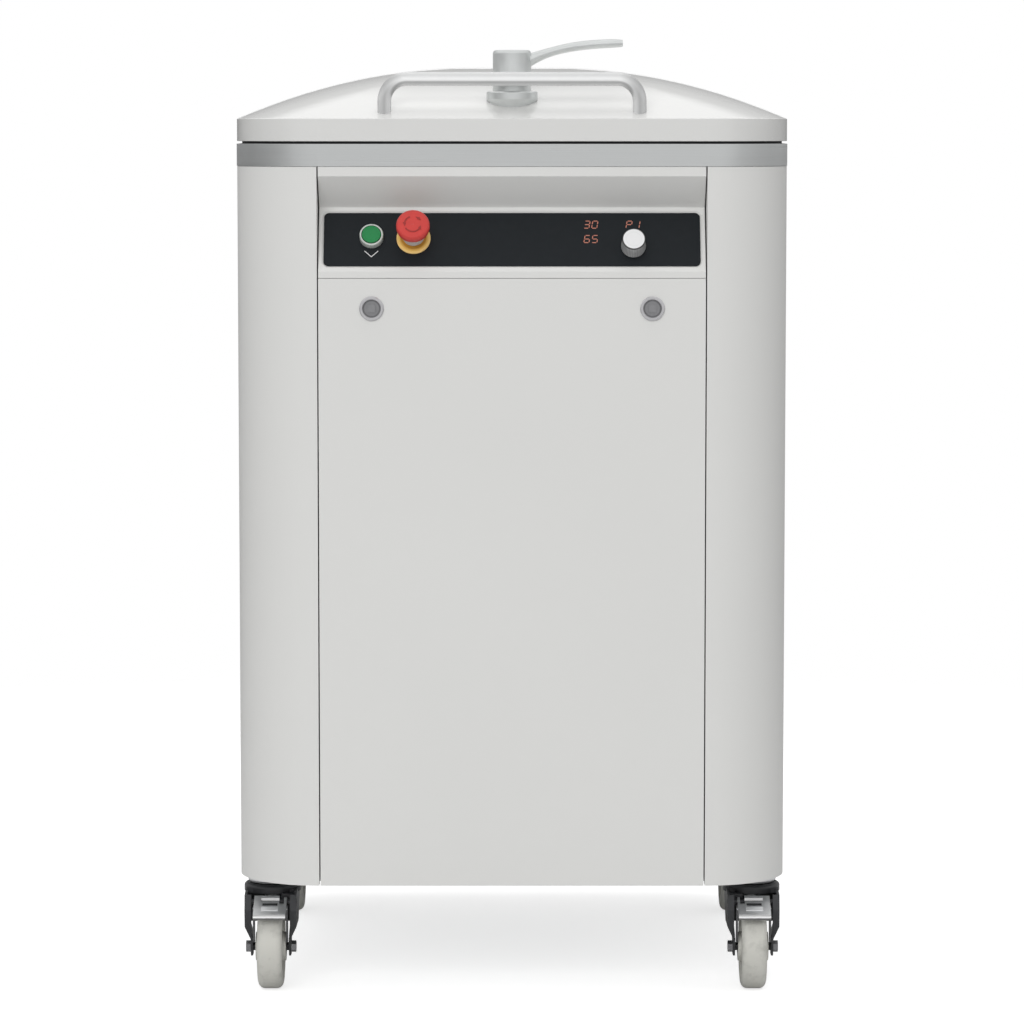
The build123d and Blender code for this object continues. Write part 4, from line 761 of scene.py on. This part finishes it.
class DIVIDER_OT_start_button(Operator):
    """Finish the start button's bezel and green cap"""

    bl_idname = "divider.start_button"
    bl_label = "Start button"

    def execute(self, context):
        dress("start_button_bezel", material="start_bezel")
        dress("start_button_cap", material="start_cap")
        bevel("start_button_bezel", width=0.0004)
        return {"FINISHED"}


def turn_arrow(start, end):
    """Curved arrow on the mushroom's flat top: an arc between two angles, with a head."""
    radius, half, low, high = 0.0098, 0.00075, -0.0008, 0.0002
    steps, head_turn, head_half = 14, 26.0, 2.6 * half

    def spot(reach, angle):
        """Point at a distance from the middle and an angle in degrees."""
        return reach * cos(radians(angle)), reach * sin(radians(angle))

    path = [spot(radius, start + (end - start) * i / steps) for i in range(steps + 1)]
    tip = spot(radius, end + head_turn)
    head = [spot(radius - head_half, end), spot(radius + head_half, end), tip]
    return [ribbon(path, half, low, high), prism(head, low, high)]


class DIVIDER_OT_emergency_stop(Operator):
    """Finish the emergency stop and add the turn arrows on its mushroom"""

    bl_idname = "divider.emergency_stop"
    bl_label = "Emergency stop"

    def execute(self, context):
        dress("estop_ring")
        dress("estop_stem")
        dress("estop_mushroom")
        top = on_slope(*STOP_AT, STOP_TOP)
        arcs = ((112.0, 170.0), (212.0, 322.0), (30.0, 44.0))
        shapes = [(top, shape) for start, end in arcs for shape in turn_arrow(start, end)]
        piece("stop_turn_arrows", shapes, "estop_head", "red_plastic", "stop_arrow")
        return {"FINISHED"}


class DIVIDER_OT_setting_knob(Operator):
    """Finish the setting knob and its shaft"""

    bl_idname = "divider.setting_knob"
    bl_label = "Setting knob"

    def execute(self, context):
        dress("encoder_shaft")
        dress("encoder_knob", material="knob")
        bevel("encoder_knob", width=0.0003)
        return {"FINISHED"}


class DIVIDER_OT_panel_locks(Operator):
    """Finish the two quarter-turn panel locks"""

    bl_idname = "divider.panel_locks"
    bl_label = "Panel locks"

    def execute(self, context):
        dress("panel_lock_housings", material="lock_ring")
        dress("panel_lock_core_left", "panel_lock_core_right", material="lock_core")
        return {"FINISHED"}


class DIVIDER_OT_top_band(Operator):
    """Finish the brushed band, the deck, the keeper and the lid gasket"""

    bl_idname = "divider.top_band"
    bl_label = "Top band and deck"

    def execute(self, context):
        dress("top_band")
        dress("top_deck", material="deck_steel")
        dress("lock_keeper")
        dress("lid_gasket")
        bevel("top_band", width=0.0005)
        return {"FINISHED"}


class DIVIDER_OT_lid(Operator):
    """Paint the lid and add the plugs of its white press plate"""

    bl_idname = "divider.lid"
    bl_label = "Lid"

    def execute(self, context):
        dress("lid_shell")
        dress("lid_inner_pan", material="deck_steel")
        dress("lid_press_plate")
        bevel("lid_shell", width=0.0007)
        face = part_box("lid_press_plate")[0].z
        plug = turned([
            (0.0055, 0.0), (0.0055, 0.0009), (0.0050, 0.0012), (0.0030, 0.0012), (0.0022, 0.0008),
        ])
        columns, rows, sunk = (-0.185, 0.0, 0.185), (-0.235, 0.0, 0.235), 0.0010
        spots = [(x, y, face + sunk) for x in columns for y in rows if x or y]
        plugs = [(facing(spot, (0, 0, -1)), plug) for spot in spots]
        piece("press_plate_plugs", plugs, "lid", "white_food_plastic")
        return {"FINISHED"}


class DIVIDER_OT_lid_handle(Operator):
    """Finish the bar handle on the lid"""

    bl_idname = "divider.lid_handle"
    bl_label = "Lid handle"

    def execute(self, context):
        dress("lid_handle", material="handle")
        return {"FINISHED"}


class DIVIDER_OT_lock_lever(Operator):
    """Finish the lid lock and its lever"""

    bl_idname = "divider.lock_lever"
    bl_label = "Lock lever"

    def execute(self, context):
        dress("lever_boss", "lock_lever")
        dress("lock_shaft")
        return {"FINISHED"}


class DIVIDER_OT_hinges(Operator):
    """Finish the lid hinges and add their screws"""

    bl_idname = "divider.hinges"
    bl_label = "Lid hinges"

    def execute(self, context):
        dress("rear_hinges", "lid_hinge_leaves")
        screw = socket_screw(context.scene.divider_fittings.hinge_screw)
        hinges, offset, leaf, lower, upper = (-0.170, 0.170), 0.020, 0.005, 0.9860, 1.0270
        across = [hinge + side * offset for hinge in hinges for side in (-1, 1)]

        def row(wall, z):
            """Screws of both hinges at one height, on leaves that lie on a wall."""
            return [(facing((x, wall + leaf, z), (0, 1, 0), turn=x * 40), screw) for x in across]

        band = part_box("top_band")[1].y
        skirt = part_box("lid_shell")[1].y
        piece("hinge_screws_cabinet", row(band, lower), "cabinet", "zinc")
        piece("hinge_screws_lid", row(skirt, upper), "lid", "zinc")
        return {"FINISHED"}


class DIVIDER_OT_basin_and_press(Operator):
    """Finish the basin, the tiles and the press below them"""

    bl_idname = "divider.basin_and_press"
    bl_label = "Basin and press"

    def execute(self, context):
        dress("basin")
        dress("press_tiles")
        dress("press_posts", "press_carrier", "main_ram", "main_cylinder")
        return {"FINISHED"}


class DIVIDER_OT_knives(Operator):
    """Finish the knife grid and its lifting rods"""

    bl_idname = "divider.knives"
    bl_label = "Knife grid"

    def execute(self, context):
        dress("knife_blades_long", "knife_blades_cross")
        dress("knife_frame", "knife_rams", "knife_cylinders")
        return {"FINISHED"}


class DIVIDER_OT_machinery(Operator):
    """Finish the frame, the hydraulics and the control box inside the cabinet"""

    bl_idname = "divider.machinery"
    bl_label = "Machinery"

    def execute(self, context):
        dress("upright_frame", "bridge_beam", "hydraulic_tank", "control_box")
        dress("pump_motor", "valve_block")
        dress("cable_gland")
        return {"FINISHED"}


def is_bolt(axle):
    """Test for the head and nut of a fork's axle, which stand outside its legs."""
    outside, radius = 0.0242, 0.0085
    return lambda spot: abs(spot.x - axle.x) > outside and (spot - axle).yz.length < radius


def pedal_areas(axle):
    """Parts of a brake pedal with a finish of their own, each with a test for its faces' places."""
    pivot, pivot_radius = Vector((0.0, -0.006, 0.055)), 0.0031
    arm_inside, arm_top, edge_half, nose_start = 0.0184, 0.0475, 0.0111, -0.0445

    def is_opening(p):
        """Walls of the opening in the pedal's top."""
        return abs(p.x) < 0.0091 and -0.0287 < p.y < -0.0223 and 0.0500 < p.z < 0.0560

    def test(area):
        """Test of a place by where it lies from the wheel's axle."""
        return lambda spot: area(spot - axle)

    return {
        # Painted shade: the pivot pin and the walls of the opening get the fork's black
        "fork_paint": test(lambda p: (p - pivot).yz.length < pivot_radius or is_opening(p)),
        # Side arms beside the wheel: dark as painted shade
        "pedal_arm": test(lambda p: abs(p.x) > arm_inside and p.z < arm_top),
        # Back wall of the slot in the pedal's top: painted highlight
        "pedal_edge": test(lambda p: abs(p.x) < edge_half and -0.0128 < p.y < -0.0122),
        "pedal_nose": test(lambda p: p.y < nose_start),
    }


class DIVIDER_OT_casters(Operator):
    """Finish the casters, their axle bolts and the brake pedals"""

    bl_idname = "divider.casters"
    bl_label = "Casters"

    def execute(self, context):
        dress("caster_heads")
        for corner in CORNERS:
            dress(f"caster_fork_{corner}")
            dress(f"caster_wheel_{corner}")
            axle = sum(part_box(f"caster_wheel_{corner}"), Vector()) / 2
            dress_faces(f"caster_fork_{corner}", "bolt_steel", is_bolt(axle))
            if corner.startswith("front"):
                dress(f"brake_pedal_{corner}", material="pedal_steel")
                for material, chosen in pedal_areas(axle).items():
                    dress_faces(f"brake_pedal_{corner}", material, chosen)
        return {"FINISHED"}


# Stage

# Levels of the room that metal mirrors: along the walls from front to back, above from front to
# back, and up the wall behind
WALL_LEVELS = ((0.0, 0.64), (0.08, 0.58), (0.18, 0.34), (0.30, 0.28), (0.5, 0.25), (1.0, 0.22))
ABOVE_LEVELS = ((0.0, 0.94), (0.5, 0.84), (1.0, 0.80))
BEHIND_LEVELS = ((0.04, 0.26), (0.06, 1.0), (0.12, 1.0), (0.15, 0.42), (0.47, 0.50), (0.58, 0.98))
RIGHT_LIFT = 0.085


def area_light(name, place, aim, size, power):
    """Large soft lamp aimed at a point, seen neither by the camera nor in reflections."""
    lamp = bpy.data.lights.new(name, "AREA")
    lamp.shape = "RECTANGLE"
    lamp.size, lamp.size_y = size
    lamp.energy = power
    made = bpy.data.objects.new(name, lamp)
    made.location = place
    made.rotation_euler = (Vector(aim) - Vector(place)).to_track_quat("-Z", "Y").to_euler()
    made.visible_camera = False
    made.visible_glossy = False
    bpy.context.scene.collection.objects.link(made)


def studio_world(ambient):
    """White for the camera, more light from above than below, and a room for metal to mirror."""
    world = bpy.data.worlds.new("studio")
    world.use_nodes = True
    nodes = Nodes(world.node_tree)
    rays = nodes.node("ShaderNodeLightPath").outputs
    way = nodes.parts(nodes.node("ShaderNodeTexCoord").outputs["Generated"])
    back = nodes.spread(way["Y"], 0.0, 1.0, -1.0, 1.0)
    walls = nodes.grey_ramp(back, WALL_LEVELS)
    walls = nodes.math("MULTIPLY_ADD", way["X"], RIGHT_LIFT, walls)
    walls = nodes.math("MULTIPLY", walls, nodes.spread(way["Z"], 0.45, 1.0, -0.65, -0.35))
    above = nodes.grey_ramp(back, ABOVE_LEVELS)
    room = nodes.mix(nodes.spread(way["Z"], 0.0, 1.0, 0.03, 0.10), walls, above)
    behind = nodes.grey_ramp(way["Z"], BEHIND_LEVELS)
    behind = nodes.math("MULTIPLY_ADD", way["X"], RIGHT_LIFT, behind)
    room = nodes.mix(nodes.spread(way["Y"], 0.0, 1.0, 0.30, 0.60), room, behind)
    sky = nodes.spread(way["Z"], ambient * 0.62, ambient * 1.38, -1.0, 1.0)
    light = nodes.mix(rays["Is Glossy Ray"], sky, room)
    seen = nodes.math("MAXIMUM", rays["Is Camera Ray"], rays["Is Transmission Ray"])
    nodes.set(world.node_tree.nodes["Background"], {"Color": nodes.mix(seen, light, 1.0)})
    return world


def studio_floor(colour, radius, lift):
    """Pale round floor that keeps the shadow and fades out into the white room."""
    floor = Finish("studio_floor", colour, 0.9, **{
        "Specular IOR Level": 0.0, "Emission Color": (1.0, 1.0, 1.0, 1.0),
    })
    floor.tint(floor.noise(3.0), 0.99, 1.0)
    reach = floor.vector_math("LENGTH", floor.place)["Value"]
    fade = floor.spread(reach, 1.0, 0.0, radius * 0.45, radius)
    seen = floor.node("ShaderNodeLightPath").outputs["Is Camera Ray"]
    glow = floor.math("MULTIPLY", seen, lift)
    floor.set(floor.shader, {"Alpha": fade, "Emission Strength": glow})
    rings = [circle(ring_radius, 0.0, 96) for ring_radius in (radius, radius * 0.4)]
    points, faces = skin(rings, first=False)
    mesh = bpy.data.meshes.new("studio_floor")
    mesh.from_pydata(points, [], faces)
    mesh.materials.append(floor.material)
    made = bpy.data.objects.new("studio_floor", mesh)
    bpy.context.scene.collection.objects.link(made)


class DIVIDER_OT_stage(Operator):
    """Set up the floor, the soft lamps, the white room and the camera"""

    bl_idname = "divider.stage"
    bl_label = "Stage"

    def execute(self, context):
        scene = context.scene
        stage = scene.divider_stage
        scene.view_settings.view_transform = "Standard"
        scene.world = studio_world(stage.ambient)
        studio_floor(stage.floor, stage.floor_radius, stage.floor_lift)
        area_light(
            "front_panel_light", place=(-0.7, -4.2, 2.5), aim=(0.0, 0.0, 0.6),
            size=(3.2, 2.4), power=stage.front,
        )
        area_light(
            "overhead_light", place=(0.0, 0.2, 3.4), aim=(0.0, 0.1, 0.9),
            size=(2.6, 2.2), power=stage.top,
        )
        lens = bpy.data.cameras.new("photo_camera")
        lens.sensor_width = 36.0
        lens.lens = stage.lens
        camera = bpy.data.objects.new("photo_camera", lens)
        camera.location = stage.camera
        camera.rotation_euler = (stage.tilt, 0.0, 0.0)
        scene.collection.objects.link(camera)
        scene.camera = camera
        return {"FINISHED"}


class DIVIDER_PT_panel(Panel):
    """Sidebar panel with the settings and the steps in their order"""

    bl_idname = "DIVIDER_PT_panel"
    bl_label = "Dough divider"
    bl_space_type = "VIEW_3D"
    bl_region_type = "UI"
    bl_category = "Divider"

    def draw(self, context):
        scene = context.scene
        for group in (scene.divider_finishes, scene.divider_fittings, scene.divider_stage):
            box = self.layout.box()
            for name in group.__annotations__:
                box.prop(group, name)
        for step in STEPS:
            self.layout.operator(step.bl_idname)


SETTINGS = {
    "divider_finishes": DividerFinishes,
    "divider_fittings": DividerFittings,
    "divider_stage": DividerStage,
}
STEPS = (
    DIVIDER_OT_cabinet, DIVIDER_OT_console_face, DIVIDER_OT_start_button, DIVIDER_OT_emergency_stop,
    DIVIDER_OT_setting_knob, DIVIDER_OT_panel_locks, DIVIDER_OT_top_band, DIVIDER_OT_lid,
    DIVIDER_OT_lid_handle, DIVIDER_OT_lock_lever, DIVIDER_OT_hinges, DIVIDER_OT_basin_and_press,
    DIVIDER_OT_knives, DIVIDER_OT_machinery, DIVIDER_OT_casters, DIVIDER_OT_stage,
)


def register():
    """Register the settings, the steps and the panel."""
    for name, group in SETTINGS.items():
        bpy.utils.register_class(group)
        setattr(bpy.types.Scene, name, PointerProperty(type=group))
    for step in STEPS:
        bpy.utils.register_class(step)
    bpy.utils.register_class(DIVIDER_PT_panel)


def unregister():
    """Take everything back out."""
    bpy.utils.unregister_class(DIVIDER_PT_panel)
    for step in reversed(STEPS):
        bpy.utils.unregister_class(step)
    for name, group in SETTINGS.items():
        delattr(bpy.types.Scene, name)
        bpy.utils.unregister_class(group)


def main():
    """Run every step in order."""
    register()
    bpy.ops.divider.cabinet()
    bpy.ops.divider.console_face()
    bpy.ops.divider.start_button()
    bpy.ops.divider.emergency_stop()
    bpy.ops.divider.setting_knob()
    bpy.ops.divider.panel_locks()
    bpy.ops.divider.top_band()
    bpy.ops.divider.lid()
    bpy.ops.divider.lid_handle()
    bpy.ops.divider.lock_lever()
    bpy.ops.divider.hinges()
    bpy.ops.divider.basin_and_press()
    bpy.ops.divider.knives()
    bpy.ops.divider.machinery()
    bpy.ops.divider.casters()
    bpy.ops.divider.stage()


if __name__ == "__main__":
    main()
